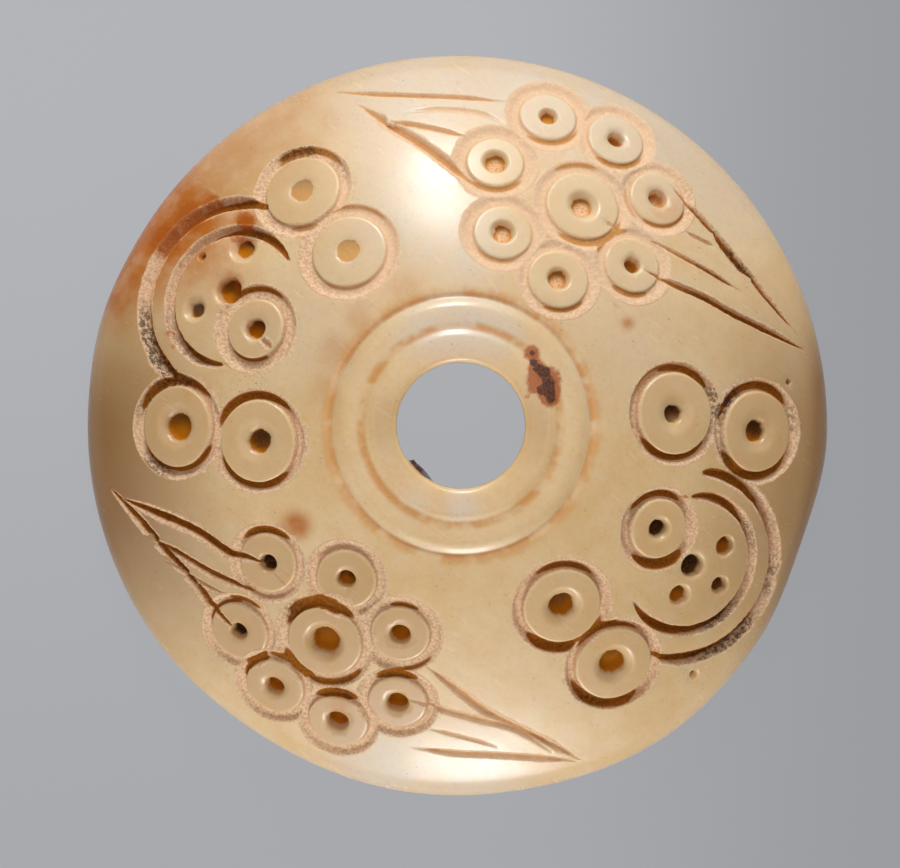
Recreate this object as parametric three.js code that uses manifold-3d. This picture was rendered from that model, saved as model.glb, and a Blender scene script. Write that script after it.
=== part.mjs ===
// A carved bone spindle whorl: a low dome turned about its spindle hole, with a stepped moulding round the
// hole, ring-and-dot marks, two crescents of double arcs and four sheaves of scored lines.
// Millimetres, +Z up. The flat underside lies on z = 0 and the outline is centred on x = y = 0.

import * as THREE from "three";
import { mergeVertices } from "three/addons/utils/BufferGeometryUtils.js";
import Module from "manifold-3d";

// Driving dimensions. The dome's section is an arc whose centre lies past the axis, which gives it a low
// pointed vault; it runs from the moulding round the hole out to the rim. Within TRUE_RADIUS the whorl is
// truly round, and from there inwards the moulding and the hole move over by HOLE_OFFSET along +X.
const WHORL_RADIUS = 17;
const HOLE_RADIUS = 2.95;
const HOLE_OFFSET = 0.16;
const DOME_ARC_RADIUS = 30.4;
const DOME_ARC_CENTRE = -4;
const RIM_TOP = [16.5, 1.95];
const MOULDING_RADIUS = 6.15;
const TRUE_RADIUS = 12;

// Cutters: depths below the dome, how far a wall leans, and floor widths as a share of the width on top.
const GROOVE_DEPTH = 0.42;
const GROOVE_DRAFT = 0.08;
const GROOVE_FLOOR_SHARE = 0.55;
const DOT_DEPTH = 0.8;
const DOT_FLOOR_SHARE = 0.4;
const LINE_DEPTH_SHARE = 0.9;
const CUTTER_RISE = 0.6;

// Fineness of the facets
const BLANK_SEGMENTS = 40;
const RING_SEGMENTS = 14;
const DOT_SEGMENTS = 6;
const DOME_STEPS = 3;
const LINE_STEPS = 4;
const ARC_STEP = 18;

// The outline is a little out of round: azimuth in degrees, half-width in degrees, swelling in millimetres.
const OUT_OF_ROUND = [
  [163, 14, 0.08],
  [237, 26, -0.14],
  [303, 26, 0.2],
  [341, 18, -0.3],
];

// Rings: x, y, radius of the standing disc, outer radius of the groove round it, radius of the centre dot.
const UPPER_ROSETTE = [
  [5.75, 10.1, 1.68, 2.25, 0.52],
  [1.74, 12.1, 1.3, 2.0, 0.52],
  [4.17, 14.2, 1.3, 1.9, 0.47],
  [7.3, 13.12, 1.3, 1.85, 0.42],
  [9.2, 10.4, 1.32, 1.8, 0.4],
  [8.08, 7.3, 1.3, 1.83, 0.4],
  [4.63, 6.7, 1.37, 1.87, 0.45],
  [2.08, 8.87, 1.32, 1.87, 0.48],
];
const LOWER_ROSETTE = [
  [-6.1, -9.93, 1.72, 2.3, 0.65],
  [-8.7, -6.35, 1.36, 1.78, 0.35],
  [-5.1, -7.05, 1.38, 1.82, 0.4],
  [-2.63, -9.6, 1.34, 1.84, 0.42],
  [-2.75, -12.72, 1.34, 1.8, 0.47],
  [-5.5, -13.58, 1.4, 1.85, 0.47],
  [-8.4, -11.98, 1.38, 1.85, 0.38],
  [-10.03, -9.45, 1.4, 1.8, 0.38],
];
const LEFT_RINGS = [
  [-7.12, 10.78, 1.75, 2.3, 0.6],
  [-4.98, 8.0, 1.72, 2.3, 0.6],
  [-12.93, -0.15, 1.85, 2.33, 0.6],
  [-9.2, -0.78, 1.87, 2.3, 0.6],
  [-9.28, 4.45, 1.38, 1.97, 0.43],
];
const RIGHT_RINGS = [
  [10.0, 0.5, 1.87, 2.3, 0.52],
  [13.82, -0.3, 1.85, 2.33, 0.6],
  [9.25, -4.75, 1.38, 1.87, 0.43],
  [4.85, -8.3, 1.8, 2.3, 0.6],
  [7.22, -10.98, 1.8, 2.25, 0.65],
];

// Lone dots inside the crescents: x, y, radius.
const LONE_DOTS = [
  [-9.8, 8.15, 0.5],
  [-12.05, 5.35, 0.42],
  [-10.5, 6.15, 0.55],
  [12.3, -5.55, 0.45],
  [12.05, -7.35, 0.38],
  [10.2, -7.8, 0.45],
  [10.8, -6.45, 0.55],
];

// Crescent arcs: centre x, y, mid radius, groove width, first and last azimuth in degrees.
const CRESCENT_ARCS = [
  [-10.35, 5.85, 3.2, 0.38, 32, 262],
  [-10.35, 5.85, 4.5, 0.5, 73, 238],
  [10.7, -6.35, 3.2, 0.38, -146, 90],
  [10.62, -6.45, 4.45, 0.45, -108, 80],
];

// Scored lines, each through three plan points, then its width: [x, y], [x, y], [x, y], width.
const SCORED_LINES = [
  [[-4.4, 14.62], [-1.4, 12.75], [1.0, 10.9], 0.42],
  [[-2.2, 14.4], [0.1, 14.45], [2.1, 13.85], 0.2],
  [[9.9, 10.7], [12.8, 7.8], [15.3, 4.6], 0.34],
  [[9.4, 6.75], [12.6, 5.3], [15.8, 3.55], 0.34],
  [[-15.3, -3.35], [-12.0, -5.0], [-9.4, -6.35], 0.36],
  [[-15.95, -2.85], [-13.2, -6.2], [-10.5, -9.3], 0.32],
  [[-14.1, -5.1], [-11.6, -6.4], [-9.6, -7.5], 0.22],
  [[-1.4, -11.0], [1.6, -13.3], [5.6, -15.3], 0.42],
  [[-2.3, -12.5], [0.8, -13.45], [4.3, -14.95], 0.32],
  [[-2.0, -14.8], [1.6, -15.12], [5.5, -15.4], 0.34],
];

// Section of the stepped moulding round the hole, from the hole's mouth outwards: radius, height.
const MOULDING = [
  [HOLE_RADIUS, 8.5],
  [3.3, 8.76],
  [3.95, 8.7],
  [4.45, 8.48],
  [5.3, 8.38],
  [5.9, 8.0],
];

// Section of the underside and the rim, from the hole outwards and up to the dome: radius, height.
const UNDERSIDE_AND_RIM = [
  [HOLE_RADIUS, 0.3],
  [3.25, 0],
  [16.5, 0],
  [WHORL_RADIUS, 0.85],
  [16.92, 1.45],
];

const BONE = { color: 0xdcc9a4, roughness: 0.38, metalness: 0 };

const wasm = await Module();
wasm.setup();

const radians = THREE.MathUtils.degToRad;
const domeBase = RIM_TOP[1] - Math.sqrt(DOME_ARC_RADIUS ** 2 - (RIM_TOP[0] - DOME_ARC_CENTRE) ** 2);

function domeHeight(r) {
  return domeBase + Math.sqrt(DOME_ARC_RADIUS ** 2 - (r - DOME_ARC_CENTRE) ** 2);
}

// The point on the dome over a plan position, with the outward normal and the downhill tangent there.
function domeFrame(x, y) {
  const r = Math.hypot(x, y);
  const lean = (r - DOME_ARC_CENTRE) / DOME_ARC_RADIUS;
  const away = new THREE.Vector3(x / r, y / r, 0);
  const normal = away.clone().multiplyScalar(lean);
  normal.z = Math.sqrt(1 - lean * lean);
  const across = new THREE.Vector3(0, 0, 1).cross(away);
  const down = across.clone().cross(normal);
  return { point: new THREE.Vector3(x, y, domeHeight(r)), normal, across, down };
}

// A closed body from a geometry's positions, with touching vertices merged.
function solid(geometry) {
  const bare = geometry.clone();
  bare.deleteAttribute("normal");
  bare.deleteAttribute("uv");
  const merged = mergeVertices(bare, 1e-4);
  return new wasm.Manifold(new wasm.Mesh({
    numProp: 3,
    vertProperties: merged.attributes.position.array,
    triVerts: new Uint32Array(merged.index.array),
  }));
}

function swelling(azimuth) {
  let total = 0;
  for (const [centre, halfWidth, amount] of OUT_OF_ROUND) {
    const away = Math.abs(((azimuth - centre + 540) % 360) - 180);
    if (away < halfWidth) total += amount * Math.cos((away / halfWidth) * Math.PI / 2) ** 2;
  }
  return total;
}

// The undecorated whorl: one closed profile turned about the axis, then made slightly out of round, with
// the moulding and the hole a little to one side.
function blank() {
  const profile = UNDERSIDE_AND_RIM.map(([r, z]) => new THREE.Vector2(r, z));
  for (let i = 0; i <= DOME_STEPS; i++) {
    const r = THREE.MathUtils.lerp(RIM_TOP[0], MOULDING_RADIUS, i / DOME_STEPS);
    profile.push(new THREE.Vector2(r, domeHeight(r)));
  }
  for (const [r, z] of MOULDING.slice().reverse()) profile.push(new THREE.Vector2(r, z));
  profile.push(profile[0].clone());
  const turned = new THREE.LatheGeometry(profile, BLANK_SEGMENTS).rotateX(Math.PI / 2);
  const at = turned.attributes.position;
  for (let i = 0; i < at.count; i++) {
    const r = Math.hypot(at.getX(i), at.getY(i));
    const azimuth = THREE.MathUtils.radToDeg(Math.atan2(at.getY(i), at.getX(i)));
    const outer = THREE.MathUtils.smoothstep(r, TRUE_RADIUS, WHORL_RADIUS);
    const inner = 1 - THREE.MathUtils.smoothstep(r, MOULDING_RADIUS, TRUE_RADIUS);
    const scale = 1 + (swelling((azimuth + 360) % 360) * outer) / r;
    at.setX(i, at.getX(i) * scale + HOLE_OFFSET * inner);
    at.setY(i, at.getY(i) * scale);
  }
  return solid(turned);
}

// Stand a cutter that was made about the local Z axis on the dome, square to its surface.
function placed(geometry, x, y) {
  const { point, normal, across, down } = domeFrame(x, y);
  const stand = new THREE.Matrix4().makeBasis(down, across, normal).setPosition(point);
  return solid(geometry.rotateX(Math.PI / 2).applyMatrix4(stand));
}

// Where a sloping wall comes out at the top of its cutter, from its places at the surface and at the floor.
function risen(surface, floor, depth) {
  return surface + ((surface - floor) * CUTTER_RISE) / depth;
}

function ringCutter([x, y, disc, outer]) {
  const floor = [disc + GROOVE_DRAFT, outer - GROOVE_DRAFT];
  const section = [
    [floor[0], -GROOVE_DEPTH],
    [floor[1], -GROOVE_DEPTH],
    [risen(outer, floor[1], GROOVE_DEPTH), CUTTER_RISE],
    [risen(disc, floor[0], GROOVE_DEPTH), CUTTER_RISE],
  ].map(([r, z]) => new THREE.Vector2(r, z));
  section.push(section[0].clone());
  return placed(new THREE.LatheGeometry(section, RING_SEGMENTS), x, y);
}

function dotCutter(x, y, radius) {
  const floor = radius * DOT_FLOOR_SHARE;
  const section = [
    [0, -DOT_DEPTH],
    [floor, -DOT_DEPTH],
    [risen(radius, floor, DOT_DEPTH), CUTTER_RISE],
    [0, CUTTER_RISE],
  ].map(([r, z]) => new THREE.Vector2(r, z));
  return placed(new THREE.LatheGeometry(section, DOT_SEGMENTS), x, y);
}

// A box bent along a run of plan points, standing square to the dome, narrower at its floor. The ends
// function says how much of its width and depth it has at each place along it.
function grooveCutter(plan, width, depth, steps, ends) {
  const bar = new THREE.BoxGeometry(1, 1, 1, 1, 1, steps);
  const at = bar.attributes.position;
  for (let i = 0; i < at.count; i++) {
    const along = at.getZ(i) + 0.5;
    const here = plan(along);
    const ahead = plan(Math.min(along + 0.01, 1));
    const behind = plan(Math.max(along - 0.01, 0));
    const { point, normal } = domeFrame(here.x, here.y);
    const heading = domeFrame(ahead.x, ahead.y).point.sub(domeFrame(behind.x, behind.y).point);
    const side = normal.clone().cross(heading).normalize();
    const full = ends(along);
    const top = at.getY(i) > 0;
    const spread = top ? risen(1, GROOVE_FLOOR_SHARE, depth) : GROOVE_FLOOR_SHARE;
    point.addScaledVector(normal, top ? CUTTER_RISE : -depth * full);
    point.addScaledVector(side, at.getX(i) * width * full * spread);
    at.setXYZ(i, point.x, point.y, point.z);
  }
  return solid(bar);
}

function arcCutter([x, y, radius, width, from, to]) {
  const { down, across, point } = domeFrame(x, y);
  const turn = Math.atan2(down.y, down.x);
  const plan = (along) => {
    const angle = radians(THREE.MathUtils.lerp(from, to, along)) - turn;
    const reach = point.clone().addScaledVector(down, radius * Math.cos(angle));
    return reach.addScaledVector(across, radius * Math.sin(angle));
  };
  const ends = (along) => Math.min(1, 0.35 + 8 * Math.min(along, 1 - along));
  return grooveCutter(plan, width, GROOVE_DEPTH, Math.round(Math.abs(to - from) / ARC_STEP), ends);
}

function lineCutter([start, middle, end, width]) {
  const curve = new THREE.CatmullRomCurve3([start, middle, end].map(([x, y]) => new THREE.Vector3(x, y, 0)));
  const plan = (along) => curve.getPoint(along);
  const ends = (along) => Math.min(1, 0.15 + 3.5 * Math.min(along, 1 - along));
  return grooveCutter(plan, width, width * LINE_DEPTH_SHARE, LINE_STEPS, ends);
}

function meshFrom(body, name, look) {
  const cut = body.getMesh();
  const geometry = new THREE.BufferGeometry();
  geometry.setAttribute("position", new THREE.BufferAttribute(cut.vertProperties, cut.numProp));
  geometry.setIndex(new THREE.BufferAttribute(cut.triVerts, 1));
  geometry.computeVertexNormals();
  const mesh = new THREE.Mesh(geometry, new THREE.MeshStandardMaterial(look));
  mesh.name = name;
  return mesh;
}

const rings = [...UPPER_ROSETTE, ...LOWER_ROSETTE, ...LEFT_RINGS, ...RIGHT_RINGS];
const dots = [...rings.map(([x, y, , , dot]) => [x, y, dot]), ...LONE_DOTS];
let whorl = blank();
for (const ring of rings) whorl = whorl.subtract(ringCutter(ring));
for (const [x, y, radius] of dots) whorl = whorl.subtract(dotCutter(x, y, radius));
for (const arc of CRESCENT_ARCS) whorl = whorl.subtract(arcCutter(arc));
for (const line of SCORED_LINES) whorl = whorl.subtract(lineCutter(line));

const group = new THREE.Group();
group.add(meshFrom(whorl, "whorl", BONE));

export default group;
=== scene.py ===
import math

import bpy
import numpy as np
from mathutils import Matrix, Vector
from mathutils.geometry import delaunay_2d_cdt
from mathutils.kdtree import KDTree


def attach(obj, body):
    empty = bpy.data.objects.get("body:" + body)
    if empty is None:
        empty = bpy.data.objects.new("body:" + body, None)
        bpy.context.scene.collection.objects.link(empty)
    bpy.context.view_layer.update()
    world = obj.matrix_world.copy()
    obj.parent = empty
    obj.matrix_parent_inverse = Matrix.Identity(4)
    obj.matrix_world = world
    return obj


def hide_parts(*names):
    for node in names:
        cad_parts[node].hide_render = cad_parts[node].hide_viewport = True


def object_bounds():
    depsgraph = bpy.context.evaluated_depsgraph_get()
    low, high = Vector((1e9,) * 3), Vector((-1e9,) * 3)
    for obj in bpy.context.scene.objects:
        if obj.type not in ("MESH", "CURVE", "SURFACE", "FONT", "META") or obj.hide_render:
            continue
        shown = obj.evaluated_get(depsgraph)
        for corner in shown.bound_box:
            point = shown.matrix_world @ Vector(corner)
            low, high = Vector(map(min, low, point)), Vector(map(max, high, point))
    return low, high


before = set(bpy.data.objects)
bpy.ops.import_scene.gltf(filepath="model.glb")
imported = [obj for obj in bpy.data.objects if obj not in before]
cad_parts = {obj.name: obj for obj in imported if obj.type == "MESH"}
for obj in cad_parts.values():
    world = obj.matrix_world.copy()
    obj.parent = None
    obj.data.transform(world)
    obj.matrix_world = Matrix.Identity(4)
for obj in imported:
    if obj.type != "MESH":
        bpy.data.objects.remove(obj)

bl_info = {
    "name": "Bone spindle whorl",
    "version": (1, 0, 0),
    "blender": (4, 5, 0),
    "location": "3D View > Sidebar > Whorl",
    "description": "Turns, carves and finishes a bone spindle whorl and lights it on a pale stage",
    "category": "Add Mesh",
}

CAD_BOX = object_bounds()
MM = 0.001
SEED = 7

# ---- The turned form, in millimetres ---------------------------------------------------------------

WHORL_RADIUS = (CAD_BOX[1][0] - CAD_BOX[0][0]) / 2 / MM
HOLE_RADIUS = 2.92
HOLE_OVAL = 0.03
HOLE_OFFSET = 0.16
DOME_ARC_RADIUS = 30.4
DOME_ARC_CENTRE = -4.0
DOME_EDGE = (16.5, 1.95)
TRUE_RADIUS = 12.0
MOULDING_RADIUS = 6.5
RIM_START = 16.35
UNDERSIDE_RADIUS = 16.5
HOLE_CHAMFER = 0.28

# Azimuth in degrees, half-width in degrees, swelling in millimetres: the outline is worn out of round.
OUT_OF_ROUND = [(163, 14, 0.08), (237, 26, -0.14), (303, 26, 0.2), (341, 18, -0.3)]

# How steeply the moulding falls away outwards, by distance from the hole's axis: millimetres, degrees.
MOULDING_LEAN = [
    (2.90, -68), (2.98, -44), (3.08, -22), (3.25, -7), (3.5, 1), (4.0, 9), (4.14, 24), (4.28, 33),
    (4.42, 27), (4.56, 4), (4.85, 6), (5.25, 11), (5.4, 19), (5.55, 30), (5.74, 42), (5.85, 44),
    (5.91, 18), (5.96, -12), (6.03, -20), (6.12, 0), (6.24, 16), (6.5, 20.2),
]

# ---- The carved marks, in millimetres --------------------------------------------------------------

# Rings: x, y, radius of the standing disc, outer radius of the groove, then radius, dish radius and depth
# of the dot.
UPPER_ROSETTE = [
    (5.75, 10.10, 1.68, 2.25, 0.50, 0.85, 0.24),
    (1.74, 12.10, 1.30, 1.90, 0.50, 0.66, 0.20),
    (4.17, 14.20, 1.30, 1.88, 0.36, 0.48, 0.24),
    (7.28, 13.15, 1.30, 1.82, 0.36, 0.45, 0.50),
    (9.20, 10.42, 1.32, 1.80, 0.42, 0.52, 0.46),
    (8.02, 7.36, 1.30, 1.83, 0.36, 0.44, 0.52),
    (4.63, 6.72, 1.37, 1.87, 0.46, 0.60, 0.20),
    (2.08, 8.87, 1.32, 1.87, 0.46, 0.64, 0.20),
]
LOWER_ROSETTE = [
    (-6.10, -9.93, 1.72, 2.28, 0.68, 1.05, 0.55),
    (-8.70, -6.32, 1.36, 1.78, 0.38, 0.50, 0.60),
    (-5.10, -7.05, 1.38, 1.82, 0.40, 0.50, 0.50),
    (-2.63, -9.60, 1.34, 1.84, 0.46, 0.56, 0.50),
    (-2.75, -12.72, 1.34, 1.80, 0.48, 0.56, 0.50),
    (-5.50, -13.58, 1.38, 1.84, 0.48, 0.58, 0.50),
    (-8.40, -11.98, 1.38, 1.85, 0.42, 0.54, 0.50),
    (-10.03, -9.45, 1.38, 1.80, 0.38, 0.46, 0.60),
]
LEFT_RINGS = [
    (-7.12, 10.78, 1.75, 2.28, 0.58, 0.74, 0.03),
    (-4.98, 8.00, 1.72, 2.28, 0.58, 0.72, 0.03),
    (-12.90, -0.05, 1.85, 2.33, 0.68, 1.12, 0.36),
    (-9.18, -0.72, 1.87, 2.30, 0.58, 1.08, 0.40),
    (-9.28, 4.45, 1.38, 1.97, 0.46, 0.58, 0.46),
]
RIGHT_RINGS = [
    (10.00, 0.55, 1.87, 2.30, 0.46, 1.00, 0.50),
    (13.80, -0.28, 1.85, 2.33, 0.54, 1.05, 0.50),
    (9.25, -4.75, 1.38, 1.87, 0.42, 0.62, 0.60),
    (4.82, -8.30, 1.80, 2.28, 0.60, 1.00, 0.48),
    (7.18, -10.96, 1.80, 2.25, 0.64, 1.02, 0.46),
]
# Lone dots: x, y, then radius, dish radius and depth of the dot.
LONE_DOTS = [
    (-9.80, 8.15, 0.45, 0.78, 0.22),
    (-12.05, 5.35, 0.36, 0.68, 0.40),
    (-10.50, 6.22, 0.58, 0.74, 0.46),
    (-11.72, 7.75, 0.16, 0.24, 0.10),
    (12.30, -5.55, 0.42, 0.55, 0.44),
    (12.05, -7.35, 0.36, 0.50, 0.46),
    (10.20, -7.80, 0.42, 0.58, 0.42),
    (10.80, -6.45, 0.54, 0.66, 0.60),
    (10.85, -11.42, 0.12, 0.24, 0.16),
    (15.20, 2.00, 0.09, 0.16, 0.20),
]
# Crescent arcs: centre x, y, mid radius, width, depth, first and last azimuth in degrees, then stain: how
# strongly painted shade darkens the arc's middle.
CRESCENT_ARCS = [
    (-10.35, 5.85, 3.20, 0.44, 0.40, 32, 264, 0.3),
    (-10.35, 5.85, 4.50, 0.62, 0.46, 72, 240, 0.3),
    (10.70, -6.35, 3.20, 0.42, 0.38, -147, 92, 0.5),
    (10.62, -6.45, 4.45, 0.54, 0.43, -110, 84, 0.5),
]
# Scored lines: plan points, width, depth, then stain: how strongly painted shade darkens the line's middle.
SCORED_LINES = [
    ([(-5.6, 15.29), (-3.0, 15.18), (0.1, 15.06), (2.2, 14.85)], 0.24, 0.16, 0.65),
    ([(-4.4, 14.62), (-3.0, 13.75), (-1.4, 12.75), (0.1, 11.6), (1.0, 10.9)], 0.48, 0.30, 0.65),
    ([(-3.2, 13.95), (-1.5, 13.7), (0.4, 13.25)], 0.26, 0.16, 0.60),
    ([(-2.2, 14.4), (-0.6, 14.5), (1.1, 14.3), (2.1, 13.85)], 0.30, 0.08, 0.25),
    ([(9.7, 11.1), (11.05, 9.64), (12.0, 8.6), (13.4, 6.9), (14.14, 5.95), (15.5, 4.3)], 0.30, 0.22, 0.85),
    ([(11.7, 8.95), (12.4, 8.05), (13.5, 6.75)], 0.52, 0.28, 0.85),
    ([(8.6, 7.08), (9.94, 6.46), (11.3, 5.88), (12.66, 5.12), (14.26, 4.34), (15.9, 3.48)], 0.34, 0.32, 1.00),
    ([(8.84, 8.53), (10.31, 7.73), (11.55, 7.05), (12.9, 6.19)], 0.24, 0.14, 0.80),
    ([(10.44, 8.9), (11.1, 8.55), (11.8, 8.22)], 0.20, 0.12, 0.50),
    ([(-15.3, -3.38), (-14.0, -3.95), (-12.08, -4.78), (-10.47, -5.84), (-9.7, -6.0), (-8.9, -6.3)],
     0.50, 0.36, 1.00),
    ([(-15.95, -2.85), (-15.0, -3.9), (-13.4, -5.75), (-12.1, -7.15), (-11.2, -8.34), (-10.2, -9.35)],
     0.48, 0.32, 0.95),
    ([(-14.1, -5.15), (-13.0, -5.75), (-12.08, -6.29), (-11.2, -6.8), (-10.2, -7.24), (-9.3, -7.65)],
     0.36, 0.24, 0.80),
    ([(-13.4, -6.2), (-12.08, -7.0), (-11.2, -7.5), (-10.6, -7.7)], 0.22, 0.14, 0.50),
    ([(-1.4, -11.0), (-0.7, -11.6), (1.0, -12.9), (2.2, -13.6), (5.6, -15.3)], 0.40, 0.20, 0.55),
    ([(-2.4, -12.5), (-1.0, -12.95), (1.0, -13.5), (2.7, -13.95), (4.3, -14.95)], 0.34, 0.15, 0.50),
    ([(-1.3, -13.9), (1.0, -14.5), (1.8, -14.75)], 0.22, 0.09, 0.40),
    ([(-2.0, -14.8), (0.0, -15.05), (2.0, -15.15), (5.5, -15.4)], 0.32, 0.15, 0.55),
    ([(-9.0, 4.0), (-8.5, 3.5)], 0.34, 0.16, 0.50),
    ([(6.8, 9.35), (7.3, 8.95)], 0.26, 0.14, 0.40),
    ([(-8.45, -6.7), (-7.8, -7.35)], 0.12, 0.05, 0.50),
    ([(-15.45, 8.5), (-15.25, 8.46), (-15.05, 8.4)], 0.12, 0.08, 0.60),
]
# How each group is cut: its rings, depth of the groove, width of the groove's outer slope.
RING_GROUPS = [
    (UPPER_ROSETTE, 0.15, 0.30), (LOWER_ROSETTE, 0.20, 0.15), (LEFT_RINGS[:2], 0.20, 0.20),
    (LEFT_RINGS[2:], 0.29, 0.15), (RIGHT_RINGS, 0.32, 0.15),
]
ALL_RINGS = [(*ring, depth, slope) for rings, depth, slope in RING_GROUPS for ring in rings]

# Painted shadow in the grooves, on the sides that the two softboxes leave in shade: a circle's x, y, inner
# and outer radius, then arcs by first and last azimuth in degrees, from and to as shares of the groove's
# width, and strength.
PAINTED_SHADOW_ARCS = [
    (UPPER_ROSETTE[0][:4], [(225, 340, 0.15, 0.55, 1.0), (70, 125, 0.7, 0.9, 0.8)]),
    (UPPER_ROSETTE[1][:4], [(215, 330, 0.15, 0.4, 0.85)]),
    (UPPER_ROSETTE[2][:4], [(215, 340, 0.15, 0.4, 0.85)]),
    (UPPER_ROSETTE[3][:4], [(215, 330, 0.1, 0.4, 0.9)]),
    (UPPER_ROSETTE[4][:4], [(230, 340, 0.0, 0.25, 0.8), (165, 220, 0.3, 0.7, 0.5)]),
    (UPPER_ROSETTE[5][:4], [(225, 300, 0.1, 0.4, 0.9), (100, 155, 0.6, 1.0, 0.8)]),
    (UPPER_ROSETTE[6][:4], [(240, 320, 0.15, 0.4, 0.85)]),
    (UPPER_ROSETTE[7][:4], [(210, 300, 0.1, 0.35, 0.6)]),
    (LOWER_ROSETTE[0][:4], [(35, 160, 0.0, 0.6, 1.0), (75, 140, 0.5, 1.0, 0.9), (195, 250, 0.2, 0.9, 1.0),
                            (245, 320, 0.55, 0.9, 0.9)]),
    (LOWER_ROSETTE[1][:4], [(50, 135, 0.25, 0.9, 1.0), (225, 300, 0.6, 0.85, 0.5)]),
    (LOWER_ROSETTE[2][:4], [(225, 262, 0.0, 1.0, 0.8), (100, 135, 0.3, 0.45, 0.5)]),
    (LOWER_ROSETTE[3][:4], [(55, 108, 0.2, 0.45, 0.9), (265, 320, 0.85, 1.0, 0.8)]),
    (LOWER_ROSETTE[4][:4], [(48, 132, 0.15, 0.75, 1.0), (80, 125, 0.5, 1.0, 0.9)]),
    (LOWER_ROSETTE[5][:4], [(48, 132, 0.0, 0.9, 1.0)]),
    (LOWER_ROSETTE[6][:4], [(12, 100, 0.35, 1.0, 0.95), (105, 160, 0.0, 0.4, 1.0)]),
    (LOWER_ROSETTE[7][:4], [(50, 105, 0.45, 0.95, 0.9), (85, 160, 0.15, 0.4, 0.8),
                            (285, 315, 0.1, 0.8, 0.9)]),
    (LEFT_RINGS[0][:4], [(35, 130, 0.6, 1.0, 0.8), (80, 130, 0.3, 0.6, 0.6), (255, 290, 0.1, 0.5, 0.6)]),
    (LEFT_RINGS[1][:4], [(45, 115, 0.9, 1.0, 0.7), (230, 310, 0.0, 0.25, 0.5)]),
    (LEFT_RINGS[2][:4], [(40, 160, 0.45, 0.95, 0.95), (50, 130, 0.2, 0.5, 0.6), (205, 262, 0.0, 0.45, 1.0),
                         (250, 330, 0.0, 0.4, 0.85)]),
    (LEFT_RINGS[3][:4], [(42, 162, 0.25, 0.95, 0.9), (200, 315, 0.0, 0.65, 1.0)]),
    (LEFT_RINGS[4][:4], [(50, 135, 0.8, 1.0, 0.9), (220, 292, 0.0, 0.2, 0.8)]),
    (RIGHT_RINGS[0][:4], [(38, 108, 0.35, 0.85, 0.95), (90, 165, 0.85, 1.0, 0.7), (215, 322, 0.0, 0.6, 1.0),
                          (325, 370, 0.0, 0.2, 0.6)]),
    (RIGHT_RINGS[1][:4], [(38, 162, 0.35, 0.9, 1.0), (208, 328, 0.0, 0.75, 1.0)]),
    (RIGHT_RINGS[2][:4], [(48, 145, 0.3, 0.8, 0.9), (228, 318, 0.3, 1.0, 1.0)]),
    (RIGHT_RINGS[3][:4], [(42, 132, 0.2, 0.65, 0.8), (222, 290, 0.2, 1.0, 1.0), (285, 342, 0.3, 0.75, 0.7)]),
    (RIGHT_RINGS[4][:4], [(48, 162, 0.2, 0.5, 0.9), (85, 132, 0.5, 1.0, 0.9), (205, 312, 0.2, 1.0, 1.0)]),
    ((-10.35, 5.85, 2.98, 3.42), [(32, 110, 0.2, 0.9, 0.8), (110, 180, 0.0, 0.3, 0.6),
                                  (175, 264, 0.0, 0.5, 1.0)]),
    ((-10.35, 5.85, 4.19, 4.81), [(72, 140, 0.3, 1.0, 1.0), (130, 200, 0.5, 0.9, 0.4),
                                  (190, 240, 0.0, 0.6, 1.0)]),
    ((10.70, -6.35, 2.99, 3.41), [(35, 92, 0.3, 0.9, 0.9), (-25, 35, 0.5, 1.0, 0.5),
                                  (-147, -20, 0.2, 1.0, 1.0)]),
    ((10.62, -6.45, 4.18, 4.72), [(35, 84, 0.2, 0.8, 0.9), (-30, 35, 0.0, 0.4, 0.5),
                                  (-110, -25, 0.2, 1.0, 1.0)]),
]

# ---- Dirt, stain, wear and painted sheen: x, y, radius in millimetres, strength ---------------------

GRIME_SPOTS = [
    (-7.3, 12.75, 1.1, 0.8), (-5.4, 11.9, 0.7, 0.35), (-14.3, 4.5, 1.3, 0.9), (-13.9, 3.0, 1.4, 1.0),
    (-12.9, 1.9, 1.0, 0.8), (-14.6, 1.0, 0.9, 0.6), (-13.9, -1.9, 0.9, 0.8), (11.8, 0.8, 1.3, 0.8),
    (12.4, 1.4, 0.9, 0.9), (12.0, -1.3, 0.8, 0.6), (15.6, 0.3, 0.8, 0.6), (14.9, -7.0, 1.5, 0.7),
    (13.0, -9.9, 1.6, 1.0), (11.6, -10.6, 1.1, 0.8), (13.9, -5.0, 1.0, 0.6), (11.9, -8.6, 1.1, 0.9),
    (7.7, 11.6, 1.1, 0.2), (12.9, 7.5, 1.0, 0.8), (-7.6, -8.5, 0.7, 0.8), (-3.9, -8.4, 0.8, 0.2),
    (-5.0, -12.0, 0.8, 0.4), (-3.5, -11.3, 0.6, 0.35), (5.9, -12.4, 0.9, 0.5), (8.0, -3.9, 1.0, 0.4),
    (-9.5, 8.9, 0.6, 0.7), (-9.3, 2.4, 0.8, 0.25), (-12.1, 3.6, 1.0, 0.6),
]
AMBER_SPOTS = [
    (-13.9, 9.3, 3.4, 0.9), (-11.6, 11.9, 2.8, 0.3), (-9.2, 13.6, 3.0, 0.22), (-7.0, 15.2, 2.4, 0.15),
    (-15.8, 6.4, 2.2, 0.8), (-12.0, 9.6, 1.4, 0.6), (-7.4, -4.6, 0.75, 0.8),
    (9.7, 9.8, 0.9, 0.4), (-5.4, -12.7, 0.7, 0.6), (7.8, 4.7, 0.35, 0.6),
    (-9.7, 9.2, 0.8, 1.0), (-10.5, 6.3, 0.7, 0.7), (-6.1, 1.6, 0.8, 0.2), (-5.6, 3.4, 0.9, 0.25),
    (-4.4, 4.9, 0.9, 0.25), (-2.4, 6.3, 0.8, 0.2), (-11.5, 7.4, 2.2, 0.2),
]
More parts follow.
